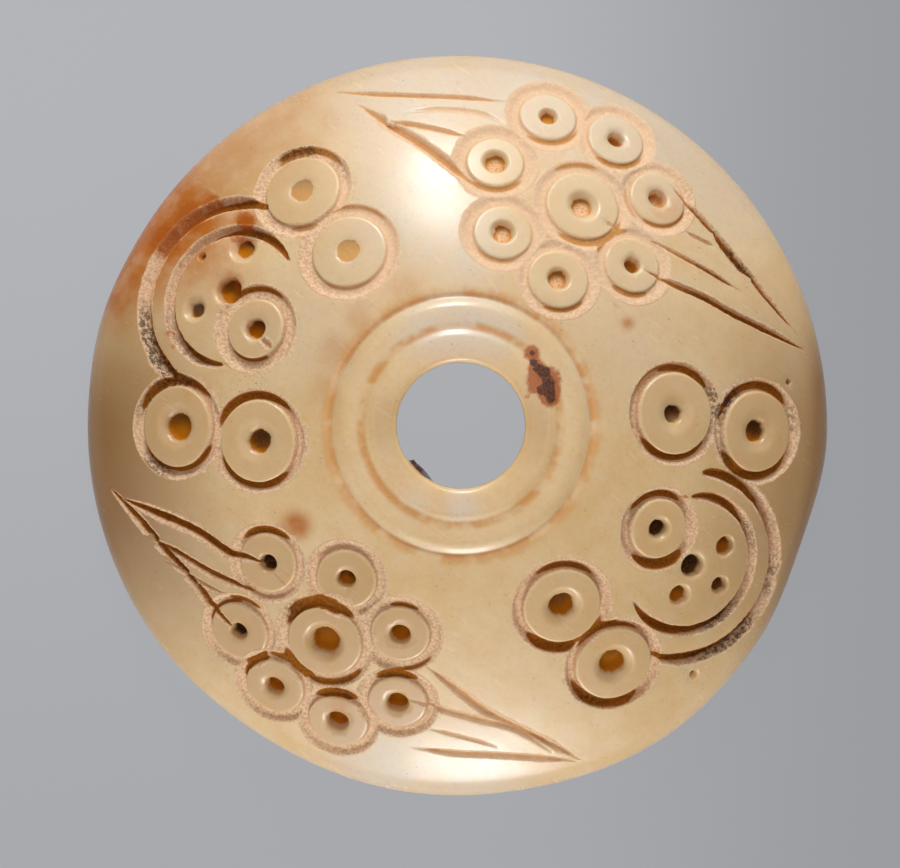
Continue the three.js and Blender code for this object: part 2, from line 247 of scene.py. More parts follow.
# Paler patches of the bone, partly painted sheen where the polish catches the softboxes: at the rims, round
# the key's highlight and on the moulding.
PALE_AND_SHEEN_SPOTS = [
    (7.0, 15.2, 4.0, 0.8), (10.6, 12.9, 3.6, 0.7), (13.4, 10.4, 3.0, 0.4), (-2.0, 15.8, 4.0, 0.8),
    (3.0, 16.2, 3.0, 0.8),
    (-1.6, 4.4, 1.4, 0.8), (0.2, 4.5, 1.8, 0.9), (1.9, 4.4, 1.4, 0.8), (0.2, -3.6, 0.9, 0.9),
    (-2.0, -3.6, 0.8, 0.5),
    (-3.4, -15.9, 3.0, 0.9), (1.0, -16.2, 2.6, 0.8), (-2.2, 9.8, 3.2, 0.7), (0.6, 8.0, 2.2, 0.7),
    (-7.2, 4.6, 3.4, 0.4), (7.6, 4.2, 3.6, 0.35),
]
SPECK_SPOTS = [
    (-9.3, 2.25, 1.1, 1.0), (-9.9, 1.9, 0.6, 0.8), (-8.6, 2.6, 0.5, 0.8), (10.85, -11.42, 0.7, 0.9),
]
# Chalky grit packed in a dot.
GRIT_SPOTS = [
    (5.78, 10.02, 0.42, 1.0), (1.76, 12.02, 0.40, 0.9), (9.25, 10.38, 0.34, 1.0), (2.1, 8.8, 0.36, 1.0),
    (4.63, 6.66, 0.36, 0.9), (10.12, 0.35, 0.26, 0.7), (-12.05, 5.5, 0.3, 0.5),
]
# Dirt that blackens a dot.
HOLE_DIRT = [
    (-8.70, -6.32, 0.7, 1.0), (-10.03, -9.45, 0.7, 1.0), (-9.20, -0.70, 0.5, 0.8), (9.92, 0.68, 0.6, 0.8),
    (14.05, -0.20, 0.45, 0.8), (9.25, -4.75, 0.7, 1.0), (10.80, -6.45, 0.9, 1.0), (12.05, -7.35, 0.5, 0.7),
    (-4.9, -7.0, 0.3, 0.8), (4.75, -8.15, 0.5, 0.5), (-12.05, 5.35, 0.5, 0.6), (-10.3, 6.0, 0.4, 0.4),
]
RUST_SPOTS = [
    (3.42, 3.32, 0.16, 0.9), (3.45, 2.9, 0.20, 0.8), (3.65, 2.62, 0.26, 1.0), (3.95, 2.42, 0.34, 1.0),
    (4.15, 1.95, 0.36, 1.0), (4.2, 1.5, 0.34, 1.0), (3.82, 1.62, 0.26, 0.8), (4.25, 1.2, 0.25, 0.8),
]
RUST_HALO = [
    (3.35, 2.1, 0.4, 0.6), (3.7, 1.9, 0.5, 1.0), (3.6, 2.6, 0.45, 1.0), (4.1, 2.1, 0.8, 0.9),
    (4.2, 1.3, 0.6, 0.9), (3.4, 3.3, 0.5, 0.8), (4.4, 1.7, 0.4, 0.7),
    (3.35, 1.6, 0.25, 0.5), (3.2, 1.3, 0.2, 0.5),
    (-9.7, 9.35, 0.6, 0.8), (-10.1, 8.6, 0.45, 0.6), (-12.3, 9.55, 1.0, 0.75), (-13.4, 8.5, 1.0, 0.8),
    (-11.2, 10.2, 0.6, 0.65), (-13.25, 4.2, 0.25, 0.5), (-13.1, 3.6, 0.25, 0.5), (-10.3, 6.5, 0.4, 0.6),
]
# The sliver of crust inside the hole: degrees and millimetres that it lies between, then how far it takes to
# come in and go out.
CRUST_AZIMUTHS = (213, 250)
CRUST_AZIMUTH_FADES = (3, 22)
CRUST_HEIGHTS = (3.0, 7.6)
CRUST_HEIGHT_FADES = (1.0, 0.3)

# ---- The room: azimuth, angle from straight up and half-angle in degrees, brightness ----------------

SOFT_WINDOWS = [
    (90, 80, 35, 2.8), (90, 42, 40, 0.7), (35, 75, 40, 0.65), (-90, 80, 38, 2.6), (-140, 75, 40, 0.9),
    (0, 0, 40, 0.85),
]
KEY_WAY = (94, 60)
LOW_WAY = (-87, 80)

# Lights, floor and lens, in metres: each softbox's two sides, half the floor's side, where on the floor its
# tone changes, and where the lens stands beside the whorl's middle.
KEY_SIZE = (0.11, 0.14)
LOW_SIZE = (0.2, 0.07)
SOFTBOX_DISTANCE = 0.6
FLOOR_HALF = 1.5
NEAR_FLOOR_SHARE, NEAR_FLOOR_EDGE = 0.87, (-0.024, 0.018)
EAST_FLOOR_SHARE, EAST_FLOOR_EDGE = 0.73, (0.0, 0.021)
BACKDROP_BRIGHTNESS = 0.4
SENSOR_WIDTH = 36
LENS_ASIDE = (-0.34 * MM, -0.39 * MM)

# ---- Mesh fineness, in millimetres -----------------------------------------------------------------

ROW_STEP = 0.1
FIELD_STEP = 0.235
MOULDING_COUNT = 232
RIM_COUNT = 420
HOLE_COUNT = 200
MERGE_CELL = 0.016
SHAKE = 1e-4
UNDERSIDE_COUNT = 72
UNDERSIDE_RINGS = np.linspace(UNDERSIDE_RADIUS - 1, HOLE_RADIUS + 1.5, 9)

# A lone dot is a ring mark whose disc and groove lie beyond the whorl, with no groove depth.
NO_RING = (9.5, 9.0)
NO_GROOVE = (0.0, 0.2)


def smooth(value, low, high):
    """0 below low, 1 above high, and an easy S between."""
    share = np.clip((value - low) / (high - low), 0, 1)
    return share * share * (3 - 2 * share)


def dome_height(radius):
    """The uncut dome's height at a radius."""
    base = DOME_EDGE[1] - math.sqrt(DOME_ARC_RADIUS**2 - (DOME_EDGE[0] - DOME_ARC_CENTRE) ** 2)
    return base + np.sqrt(DOME_ARC_RADIUS**2 - (np.minimum(radius, WHORL_RADIUS) - DOME_ARC_CENTRE) ** 2)


def moulding_section():
    """The moulding's height against radius, summed inwards from the dome by its lean."""
    radii = np.arange(MOULDING_LEAN[0][0], MOULDING_RADIUS + 0.005, 0.01)
    lean = np.interp(radii, *np.array(MOULDING_LEAN).T)
    drop = np.tan(np.radians(lean)) * 0.01
    return radii, dome_height(MOULDING_RADIUS) + np.cumsum(drop[::-1])[::-1] - drop[-1]


SECTION = moulding_section()


def swelling(azimuth):
    """How far the outline stands out of round at an azimuth in radians."""
    total = np.zeros_like(azimuth)
    for centre, half_width, amount in OUT_OF_ROUND:
        away = np.abs((np.degrees(azimuth) - centre + 540) % 360 - 180)
        total += amount * np.cos(np.minimum(away / half_width, 1) * math.pi / 2) ** 2
    return total


def turned_radius(x, y):
    """The radius on the true turned section that a plan place has."""
    radius = np.hypot(x, y)
    moved = HOLE_OFFSET * (1 - smooth(radius, MOULDING_RADIUS, TRUE_RADIUS))
    worn = swelling(np.arctan2(y, x)) * smooth(radius, TRUE_RADIUS, WHORL_RADIUS)
    return np.hypot(x - moved, y) - worn


def surface_height(x, y):
    """The uncut surface's height at a plan place, moulding and dome."""
    radius = turned_radius(x, y)
    return np.where(radius < MOULDING_RADIUS, np.interp(radius, *SECTION), dome_height(radius))


def lifted(plan):
    """Plan places, as rows of x and y, lifted to the uncarved surface."""
    plan = np.asarray(plan, float)
    return np.c_[plan, surface_height(plan[:, 0], plan[:, 1])]


def dome_frames(plan):
    """The outward normal, the downhill and the level tangent of the dome at each plan place."""
    plan = np.asarray(plan, float)
    radius = np.hypot(*plan.T)
    lean = (radius - DOME_ARC_CENTRE) / DOME_ARC_RADIUS
    away = plan / radius[:, None]
    level = np.sqrt(1 - lean**2)
    normal = np.c_[away * lean[:, None], level]
    down = np.c_[away * level[:, None], -lean]
    across = np.c_[-away[:, 1], away[:, 0], np.zeros(len(plan))]
    return normal, down, across


def circle_plan(x, y, radius, angles):
    """Plan places on a circle that lies square to the dome round a mark's centre."""
    _, down, across = (part[0] for part in dome_frames([(x, y)]))
    turn = angles - math.atan2(down[1], down[0])
    return np.array([x, y]) + radius * (np.outer(np.cos(turn), down[:2]) + np.outer(np.sin(turn), across[:2]))


def through(points, step=0.1):
    """A smooth run through given plan points, resampled to even steps."""
    points = np.array(points, float)
    ghost = np.vstack([2 * points[0] - points[1], points, 2 * points[-1] - points[-2]])
    run = []
    for a, b, c, d in zip(ghost, ghost[1:], ghost[2:], ghost[3:]):
        t = np.linspace(0, 1, 24, endpoint=False)[:, None]
        bend, twist = 2 * a - 5 * b + 4 * c - d, 3 * b - a - 3 * c + d
        run.append(0.5 * (2 * b + (c - a) * t + bend * t**2 + twist * t**3))
    run = np.vstack(run + [points[-1:]])
    along = np.r_[0, np.cumsum(np.hypot(*np.diff(run, axis=0).T))]
    places = np.linspace(0, along[-1], max(4, round(along[-1] / step)))
    return np.c_[np.interp(places, along, run[:, 0]), np.interp(places, along, run[:, 1])]


def strokes():
    """Every arc and scored line: its plan run, half-width and depth along it, its flat share and stain, the
    strength of the painted shade along its middle.
    """
    made = []
    for x, y, radius, width, depth, start, end, stain in CRESCENT_ARCS:
        count = round(math.radians(abs(end - start)) * radius / ROW_STEP)
        angles = np.radians(np.linspace(start, end, count))
        fade = np.minimum(1, 0.25 + 7 * np.minimum(np.linspace(0, 1, count), np.linspace(1, 0, count)))
        made.append((circle_plan(x, y, radius, angles), width / 2 * fade**0.5, depth * fade, 0.6, stain))
    for points, width, depth, stain in SCORED_LINES:
        run = through(points)
        along = np.linspace(0, 1, len(run))
        fade = np.minimum(1, 0.12 + 4 * np.minimum(along, 1 - along))
        made.append((run, width / 2 * fade**0.7, depth * fade, 0.1, stain))
    return made


def mark_rows():
    """Plan points in rows along every carved edge, so that the mesh has its edges where the cuts do."""
    rows = []
    for x, y, disc, outer, dot, dish, _, _, _ in ALL_RINGS:
        middle = np.linspace(disc + 0.11, outer - 0.12, 4)
        radii = [disc - 0.14, disc - 0.06, disc - 0.01, disc + 0.03, disc + 0.07, *middle]
        radii += [outer - 0.06, outer - 0.01, outer + 0.04, outer + 0.10, outer + 0.18]
        rows += ring_rows(x, y, radii, round(2 * math.pi * disc * 1.15 / ROW_STEP))
        rows += dot_rows(x, y, dot, dish)
    for x, y, dot, dish, _ in LONE_DOTS:
        rows += dot_rows(x, y, dot, dish)
    for run, half, *_ in strokes():
        heading = np.gradient(run, axis=0)
        side = np.c_[-heading[:, 1], heading[:, 0]] / np.hypot(*heading.T)[:, None]
        for share in (-1.7, -1.25, -1.0, -0.75, -0.45, 0, 0.45, 0.75, 1.0, 1.25, 1.7):
            rows.append(run + side * (half * share)[:, None])
    return np.vstack(rows)


def ring_rows(x, y, radii, count):
    """Rows of plan points on circles round a mark, every second row turned half a step."""
    angles = np.arange(count) / count * 2 * math.pi
    return [circle_plan(x, y, radius, angles + row % 2 * math.pi / count) for row, radius in enumerate(radii)]


def dot_rows(x, y, dot, dish):
    """Rows of plan points round a drilled dot and its dish."""
    radii = [dot * share for share in (0.12, 0.35, 0.52, 0.68, 0.82, 0.94, 1.06, 1.2)]
    if dish > dot * 1.3:
        radii += list(np.linspace(dot * 1.35, dish * 1.1, 4))
    return ring_rows(x, y, radii, max(14, round(2 * math.pi * dot / 0.085)))


def hole_edge(angles):
    """Plan places on the hole's slightly oval edge."""
    radius = HOLE_RADIUS + HOLE_OVAL * np.cos(2 * angles)
    return np.c_[HOLE_OFFSET + radius * np.cos(angles), radius * np.sin(angles)]


def rim_edge(angles):
    """Plan places where the dome ends and the rim begins."""
    radius = RIM_START + swelling(angles) * smooth(RIM_START, TRUE_RADIUS, WHORL_RADIUS)
    return np.c_[radius * np.cos(angles), radius * np.sin(angles)]


def plan_field():
    """Every plan point of the upper face, with the rim's and the hole's own rows first."""
    rim = rim_edge(np.arange(RIM_COUNT) / RIM_COUNT * 2 * math.pi)
    hole = hole_edge(np.arange(HOLE_COUNT) / HOLE_COUNT * 2 * math.pi)
    moulding = []
    fine = np.r_[np.arange(3.0, 4.0, 0.09), np.arange(4.06, 4.6, 0.06), np.arange(4.7, 5.35, 0.1),
                 np.arange(5.42, 6.3, 0.045), 6.38, 6.5]
    for row, radius in enumerate(fine):
        angles = (np.arange(MOULDING_COUNT) + row % 2 / 2) / MOULDING_COUNT * 2 * math.pi
        moulding.append(np.c_[HOLE_OFFSET + radius * np.cos(angles), radius * np.sin(angles)])
    rows = np.vstack([*moulding, mark_rows()])
    radius = turned_radius(*rows.T)
    rows = rows[(radius < RIM_START - 0.06) & (radius > HOLE_RADIUS + 0.05)]
    cells = np.round(rows / MERGE_CELL).astype(int)
    rows = rows[np.sort(np.unique(cells, axis=0, return_index=True)[1])]
    field = open_field(rows)
    shake = np.random.default_rng(SEED)
    rows = rows + shake.uniform(-SHAKE, SHAKE, rows.shape)
    return rim, hole, np.vstack([rows, field])


def open_field(rows):
    """Points evenly over what the rows leave free."""
    shake = np.random.default_rng(SEED + 1)
    tree = KDTree(len(rows))
    for i, (x, y) in enumerate(rows):
        tree.insert((x, y, 0), i)
    tree.balance()
    across = np.arange(-RIM_START, RIM_START, FIELD_STEP)
    up = np.arange(-RIM_START, RIM_START, FIELD_STEP * math.sqrt(3) / 2)
    x, y = np.meshgrid(across, up)
    x = x + (np.arange(len(up)) % 2)[:, None] * FIELD_STEP / 2
    field = np.c_[x.ravel(), y.ravel()]
    field += shake.uniform(-0.15, 0.15, field.shape) * FIELD_STEP
    radius = turned_radius(*field.T)
    field = field[(radius < RIM_START - 0.1) & (radius > MOULDING_RADIUS)]
    free = [tree.find((x, y, 0))[2] > FIELD_STEP * 0.62 for x, y in field]
    return field[np.array(free)]


def triangulated(points, fixed):
    """Triangles over plan points, without those that only join points of one border row."""
    _, _, faces, *_ = delaunay_2d_cdt([Vector(p) for p in points], [], [], 0, 1e-9)
    faces = np.array(faces)
    border = np.zeros(len(points), int)
    for number, (first, last) in enumerate(fixed, 1):
        border[first:last] = number
    sides = border[faces]
    stray = (sides[:, 0] > 0) & (sides[:, 0] == sides[:, 1]) & (sides[:, 1] == sides[:, 2])
    return faces[~stray]


def rim_rows():
    """The rim below the dome: radius, height and share of the worn outline, down to the underside."""
    start = dome_height(RIM_START)
    lean = math.asin((RIM_START - DOME_ARC_CENTRE) / DOME_ARC_RADIUS)
    bend = (WHORL_RADIUS - RIM_START) / (1 - math.sin(lean))
    turns = np.linspace(lean, math.pi / 2, 9)[1:]
    rows = [(RIM_START + bend * (math.sin(t) - math.sin(lean)), start - bend * (math.cos(lean) - math.cos(t)))
            for t in turns]
    low_radius, low = rows[-1]
    for t in np.linspace(0, math.pi / 2, 6)[1:]:
        reach = low_radius - (WHORL_RADIUS - UNDERSIDE_RADIUS) * (1 - math.cos(t))
        rows.append((reach, low * (1 - math.sin(t))))
    return rows


def blank_mesh():
    """The turned blank as one closed mesh: fine over the carved face, plain below."""
    rim, hole, field = plan_field()
    top = np.vstack([rim, hole, field])
    faces = triangulated(top, [(0, RIM_COUNT), (RIM_COUNT, RIM_COUNT + HOLE_COUNT)])
    places = [lifted(top)]
    parts = [upward(top, faces)]
    count = len(top)
    angles = np.arange(RIM_COUNT) / RIM_COUNT * 2 * math.pi
    last = np.arange(RIM_COUNT)
    for radius, height in rim_rows():
        reach = radius + swelling(angles) * smooth(radius, TRUE_RADIUS, WHORL_RADIUS)
        places.append(np.c_[reach * np.cos(angles), reach * np.sin(angles), np.full(RIM_COUNT, height)])
        new = np.arange(count, count + RIM_COUNT)
        parts.append(band(last, new))
        last, count = new, count + RIM_COUNT
    foot = last
    hole_angles = np.arange(HOLE_COUNT) / HOLE_COUNT * 2 * math.pi
    edge = hole_edge(hole_angles)
    last = np.arange(RIM_COUNT, RIM_COUNT + HOLE_COUNT)
    top_height = float(places[0][last, 2].min())
    for height, out in hole_rows(top_height):
        widened = edge + np.c_[np.cos(hole_angles), np.sin(hole_angles)] * out
        places.append(np.c_[widened, np.full(HOLE_COUNT, height)])
        new = np.arange(count, count + HOLE_COUNT)
        parts.append(band(new, last))
        last, count = new, count + HOLE_COUNT
    places = np.vstack(places)
    parts.append(underside(places, foot, last, count))
    places = np.vstack([places, underside_places()])
    mesh = bpy.data.meshes.new("whorl_blank")
    mesh.from_pydata((places * MM).tolist(), [], np.vstack(parts).tolist())
    mesh.validate()
    return mesh


def underside_places():
    """Rings of places on the flat underside, each turned a little from the last."""
    rows = []
    for radius in UNDERSIDE_RINGS:
        angles = np.arange(UNDERSIDE_COUNT) / UNDERSIDE_COUNT * 2 * math.pi + radius
        rows.append(np.c_[radius * np.cos(angles), radius * np.sin(angles), np.zeros(UNDERSIDE_COUNT)])
    return np.vstack(rows)


def underside(places, foot, mouth, count):
    """Triangles of the flat underside, from the rim's foot in to the hole's mouth, facing down."""
    inner = underside_places()
    plan = np.vstack([places[foot, :2], places[mouth, :2], inner[:, :2]])
    names = np.r_[foot, mouth, np.arange(count, count + len(inner))]
    faces = triangulated(plan, [(0, RIM_COUNT), (RIM_COUNT, RIM_COUNT + HOLE_COUNT)])
    return names[upward(plan, faces)[:, ::-1]]


def hole_rows(top_height):
    """Heights down the hole's wall, and how far the wall stands back there."""
    rows = [(height, 0.0) for height in np.linspace(top_height - 0.12, HOLE_CHAMFER, 26)]
    return rows + [(HOLE_CHAMFER * 0.45, HOLE_CHAMFER * 0.35), (0.0, HOLE_CHAMFER)]


def band(upper, lower):
    """Triangles between two rows of equal count, facing outwards when the upper row is above."""
    a, b = upper, np.roll(upper, -1)
    c, d = lower, np.roll(lower, -1)
    return np.vstack([np.c_[a, c, d], np.c_[a, d, b]])


def upward(points, faces):
    """The same triangles, all turned to face up."""
    a, b, c = (points[faces[:, i]] for i in range(3))
    area = (b[:, 0] - a[:, 0]) * (c[:, 1] - a[:, 1]) - (b[:, 1] - a[:, 1]) * (c[:, 0] - a[:, 0])
    return np.where(area[:, None] < 0, faces[:, ::-1], faces)


def spots(places, table, near=0.35, far=1.25):
    """How strongly a table of soft round spots covers each place."""
    bare = np.ones(len(places))
    for x, y, radius, strength in table:
        away = np.hypot(places[:, 0] - x, places[:, 1] - y) / radius
        bare *= 1 - strength * (1 - smooth(away, near, far))
    return 1 - bare


def groove_arcs(places, table):
    """How strongly a table of arcs in round grooves covers each place."""
    cover = np.zeros(len(places))
    for (x, y, inner, outer), arcs in table:
        normal = dome_frames([(x, y)])[0][0]
        off = places - lifted([(x, y)])[0]
        off = off - np.outer(off @ normal, normal)
        reach = (np.linalg.norm(off, axis=1) - inner) / (outer - inner)
        azimuth = np.degrees(np.arctan2(off[:, 1], off[:, 0]))
        for first, last, low, high, strength in arcs:
            away = np.abs((azimuth - (first + last) / 2 + 540) % 360 - 180)
            half = (last - first) / 2
            along = 1 - smooth(away, half * 0.45, half + 12)
            width = (high - low) / 2 * along
            across = 1 - smooth(np.abs(reach - (low + high) / 2), width - 0.05, width + 0.25)
            cover = np.maximum(cover, strength * np.minimum(along * 2.2, 1) * across)
    return cover


def store(mesh, name, values):
    """Keeps one number for each point of a mesh under a name."""
    layer = mesh.attributes.new(name, "FLOAT", "POINT")
    layer.data.foreach_set("value", np.asarray(values, np.float32))


def paint_blank(mesh):
    """Soft masks for dirt, stain, rust, painted shadow and painted sheen on the blank, for the tree and the
    finish to read.
    """
    places = np.empty(len(mesh.vertices) * 3)
    mesh.vertices.foreach_get("co", places)
    places = places.reshape(-1, 3) / MM
    above = smooth(places[:, 2], 0.6, 1.6)
    store(mesh, "grime", spots(places, GRIME_SPOTS) * above)
    store(mesh, "amber", spots(places, AMBER_SPOTS, 0.1, 1.4) * smooth(places[:, 2], 0.0, 1.0))
    store(mesh, "rust", spots(places, RUST_SPOTS) * above)
    store(mesh, "halo", spots(places, RUST_HALO) * above)
    store(mesh, "specks", spots(places, SPECK_SPOTS) * above)
    store(mesh, "pale", spots(places, PALE_AND_SHEEN_SPOTS, 0.0, 1.5) * above)
    store(mesh, "soot", spots(places, HOLE_DIRT) * above)
    store(mesh, "grit", spots(places, GRIT_SPOTS) * above)
    # Painted shadow arcs in the grooves, for the finish to colour as shade.
    store(mesh, "resin", groove_arcs(places, PAINTED_SHADOW_ARCS) * above)
    x, y, z = places.T
    azimuth = np.degrees(np.arctan2(y, x - HOLE_OFFSET)) % 360
    near = (np.hypot(x - HOLE_OFFSET, y) < HOLE_RADIUS + 0.1).astype(float)
    (first, last), (come, go) = CRUST_AZIMUTHS, CRUST_AZIMUTH_FADES
    across = smooth(azimuth, first, first + come) * (1 - smooth(azimuth, last - go, last))
    (low, high), (come, go) = CRUST_HEIGHTS, CRUST_HEIGHT_FADES
    upright = smooth(z, low, low + come) * (1 - smooth(z, high, high + go))
    store(mesh, "crust", near * across * upright)


# ---- Node trees ------------------------------------------------------------------------------------


class Wire:
    """A node's output socket. Arithmetic on it adds Math nodes to its tree."""

    def __init__(self, graph, socket):
        self.graph = graph
        self.socket = socket

    def math(self, operation, *others, swap=False):
        """One Math node on this and other values; swap puts this one last."""
        values = (*others, self) if swap else (self, *others)
        return self.graph.wire("ShaderNodeMath", {"operation": operation}, dict(enumerate(values)))

    def __add__(self, other):
        return self.math("ADD", other)

    def __sub__(self, other):
        return self.math("SUBTRACT", other)

    def __mul__(self, other):
        return self.math("MULTIPLY", other)

    def __truediv__(self, other):
        return self.math("DIVIDE", other)

    def __rsub__(self, other):
        return self.math("SUBTRACT", other, swap=True)

    __radd__ = __add__
    __rmul__ = __mul__

    def least(self, other):
        """The smaller of two values."""
        return self.math("MINIMUM", other)

    def most(self, other):
        """The larger of two values."""
        return self.math("MAXIMUM", other)

    def rise(self, low, high):
        """0 below low, 1 above high, and an easy S between."""
        inputs = {"Value": self, "From Min": low, "From Max": high}
        return self.graph.wire("ShaderNodeMapRange", {"interpolation_type": "SMOOTHSTEP"}, inputs)

    def fall(self, low, high):
        """1 below low, 0 above high, and an easy S between."""
        return 1 - self.rise(low, high)


class Graph:
    """One node tree, and the ways that nodes are put into it."""

    def __init__(self, tree):
        self.tree = tree

    def node(self, kind, settings=None, inputs=None):
        """Any node: its type, its settings, then the value or link of each socket by name or number."""
        made = self.tree.nodes.new(kind)
        for name, value in (settings or {}).items():
            setattr(made, name, value)
        for name, value in (inputs or {}).items():
            if isinstance(value, Wire):
                self.tree.links.new(value.socket, made.inputs[name])
            else:
                made.inputs[name].default_value = value
        return made

    def wire(self, kind, settings=None, inputs=None, output=0):
        """A node as in node(), and the wire from one of its outputs."""
        return Wire(self, self.node(kind, settings, inputs).outputs[output])

    def vector(self, operation, *values, output=0, scale=None):
        """One Vector Math node."""
        inputs = dict(enumerate(values))
        if scale is not None:
            inputs["Scale"] = scale
        return self.wire("ShaderNodeVectorMath", {"operation": operation}, inputs, output)

    def noise(self, place, scale, detail=2.0, roughness=0.5):
        """Noise from 0 to 1 at a place."""
        inputs = {"Vector": place, "Scale": scale, "Detail": detail, "Roughness": roughness}
        return self.wire("ShaderNodeTexNoise", None, inputs, "Fac")

    def mix(self, share, below, above):
        """A colour that goes from below to above as share goes from 0 to 1."""
        made = self.node("ShaderNodeMix", {"data_type": "RGBA"}, {0: share, 6: below, 7: above})
        return Wire(self, made.outputs[2])


def tree_inputs(tree, wanted):
    """Adds named inputs to a geometry tree and returns their identifiers by name."""
    made = {}
    for name, kind, default in wanted:
        socket = tree.interface.new_socket(name, in_out="INPUT", socket_type=kind)
        if default is not None:
            socket.default_value = default
        made[name] = socket.identifier
    return made


def sampled(graph, geometry, index, name, kind="FLOAT"):
    """A named attribute of one point of another geometry."""
    value = graph.wire("GeometryNodeInputNamedAttribute", {"data_type": kind}, {"Name": name})
    return graph.wire("GeometryNodeSampleIndex", {"data_type": kind}, {0: geometry, 1: value, "Index": index})


def named(graph, name):
    """A stored number of the geometry that is being worked on."""
    return graph.wire("GeometryNodeInputNamedAttribute", {"data_type": "FLOAT"}, {"Name": name})


def stored(graph, geometry, name, value):
    """The geometry with a number stored at each point."""
    inputs = {"Geometry": geometry, "Name": name, "Value": value}
    return graph.wire("GeometryNodeStoreNamedAttribute", {"data_type": "FLOAT", "domain": "POINT"}, inputs)


def carving_tree():
    """The tree that cuts the marks and strokes into the blank and roughens the cuts."""
    tree = bpy.data.node_groups.new("Carved whorl", "GeometryNodeTree")
    names = tree_inputs(tree, [
        ("Blank", "NodeSocketGeometry", None), ("Marks", "NodeSocketObject", None),
        ("Strokes", "NodeSocketObject", None), ("Groove Depth", "NodeSocketFloat", 1.0),
        ("Dot Depth", "NodeSocketFloat", 1.0), ("Dish Depth", "NodeSocketFloat", 0.16),
        ("Edge Wear", "NodeSocketFloat", 0.03), ("Grit", "NodeSocketFloat", 0.06),
        ("Seed", "NodeSocketFloat", 0.0), ("Finish", "NodeSocketMaterial", None),
        ("Key Way", "NodeSocketVector", None), ("Low Way", "NodeSocketVector", None),
    ])
    tree.interface.new_socket("Whorl", in_out="OUTPUT", socket_type="NodeSocketGeometry")
    graph = Graph(tree)
    source = graph.node("NodeGroupInput")
    given = {socket.name: Wire(graph, socket) for socket in source.outputs if socket.name}
    place = graph.vector("SCALE", graph.wire("GeometryNodeInputPosition"), scale=1 / MM)
    seeded = graph.vector("ADD", place, graph.wire("ShaderNodeCombineXYZ", None, {"X": given["Seed"]}))
    normal = graph.wire("GeometryNodeInputNormal")

    geometry = given["Blank"]
    for name in ("groove", "cut", "pit", "foot", "drilled", "disc", "north"):
        geometry = stored(graph, geometry, name, 0.0)
    geometry = stored(graph, geometry, "wobble", graph.noise(seeded, 1.6, 2.0) - 0.5)
    geometry = stored(graph, geometry, "chip", graph.noise(seeded, 4.5, 3.0, 0.7) - 0.5)
    ways = [given["Key Way"], given["Low Way"]]
    geometry = stored(graph, geometry, "open", sum(reached(graph, normal, way) for way in ways))
    geometry = ring_zone(graph, geometry, given, place)
    geometry = stroke_cut(graph, geometry, given)

    grain = graph.noise(seeded, 6.0, 3.0, 0.7) - 0.5
    groove, pit = named(graph, "groove"), named(graph, "pit")
    worked = groove.rise(0.1, 0.6)
    depth = named(graph, "cut") * given["Groove Depth"] + worked * grain * given["Grit"] * 2.4
    depth = depth.most(pit + named(graph, "drilled") * grain * given["Grit"])
    rust = named(graph, "rust") * graph.noise(seeded, 5.0, 3.0, 0.7).rise(0.3, 0.7) * 0.6
    crust = named(graph, "crust") * (graph.noise(seeded, 1.6, 3.0).rise(0.25, 0.7) * 0.2 + 0.1)
    rise = rust * 0.12 + crust - depth
    moved = graph.vector("SCALE", normal, scale=rise * MM)
    geometry = graph.wire("GeometryNodeSetPosition", None, {"Geometry": geometry, "Offset": moved})
    geometry = ray_shade_places(graph, geometry, ways)
    whole = graph.wire("GeometryNodeSetShadeSmooth", None, {"Geometry": geometry, "Shade Smooth": True})
    whole = graph.wire("GeometryNodeRealizeInstances", None, {"Geometry": whole})
    whole = graph.wire("GeometryNodeSetMaterial", None, {"Geometry": whole, "Material": given["Finish"]})
    graph.node("NodeGroupOutput", None, {"Whorl": whole})
    return tree, names


def reached(graph, normal, way):
    """How fully a light from one way falls on a face with this normal."""
    return graph.vector("DOT_PRODUCT", normal, way, output="Value").most(0.0)


def ray_shade_places(graph, geometry, ways):
    """Stores how much of the two main lights each place loses to the cuts, found by rays towards them, for
    the finish to paint as shade.
    """
    normal = graph.wire("GeometryNodeInputNormal")
    position = graph.wire("GeometryNodeInputPosition")
    lit = 0.06
    for way in ways:
        start = graph.vector("ADD", position, graph.vector("SCALE", normal, scale=0.02 * MM))
        start = graph.vector("ADD", start, graph.vector("SCALE", way, scale=0.02 * MM))
        ray = {"Target Geometry": geometry, "Source Position": start, "Ray Direction": way,
               "Ray Length": 6 * MM}
        blocked = graph.wire("GeometryNodeRaycast", None, ray, "Is Hit")
        lit = reached(graph, normal, way) * (1 - blocked) + lit
    ray_shade_share = 1 - lit / (named(graph, "open") + 0.06)
    soft = graph.wire("GeometryNodeBlurAttribute", {"data_type": "FLOAT"}, {0: ray_shade_share, "Iterations": 2})
    return stored(graph, geometry, "sheltered", soft)


def north_of(graph, vector):
    """A vector's part towards +Y."""
    return graph.vector("DOT_PRODUCT", vector, (0.0, 1.0, 0.0), output="Value")


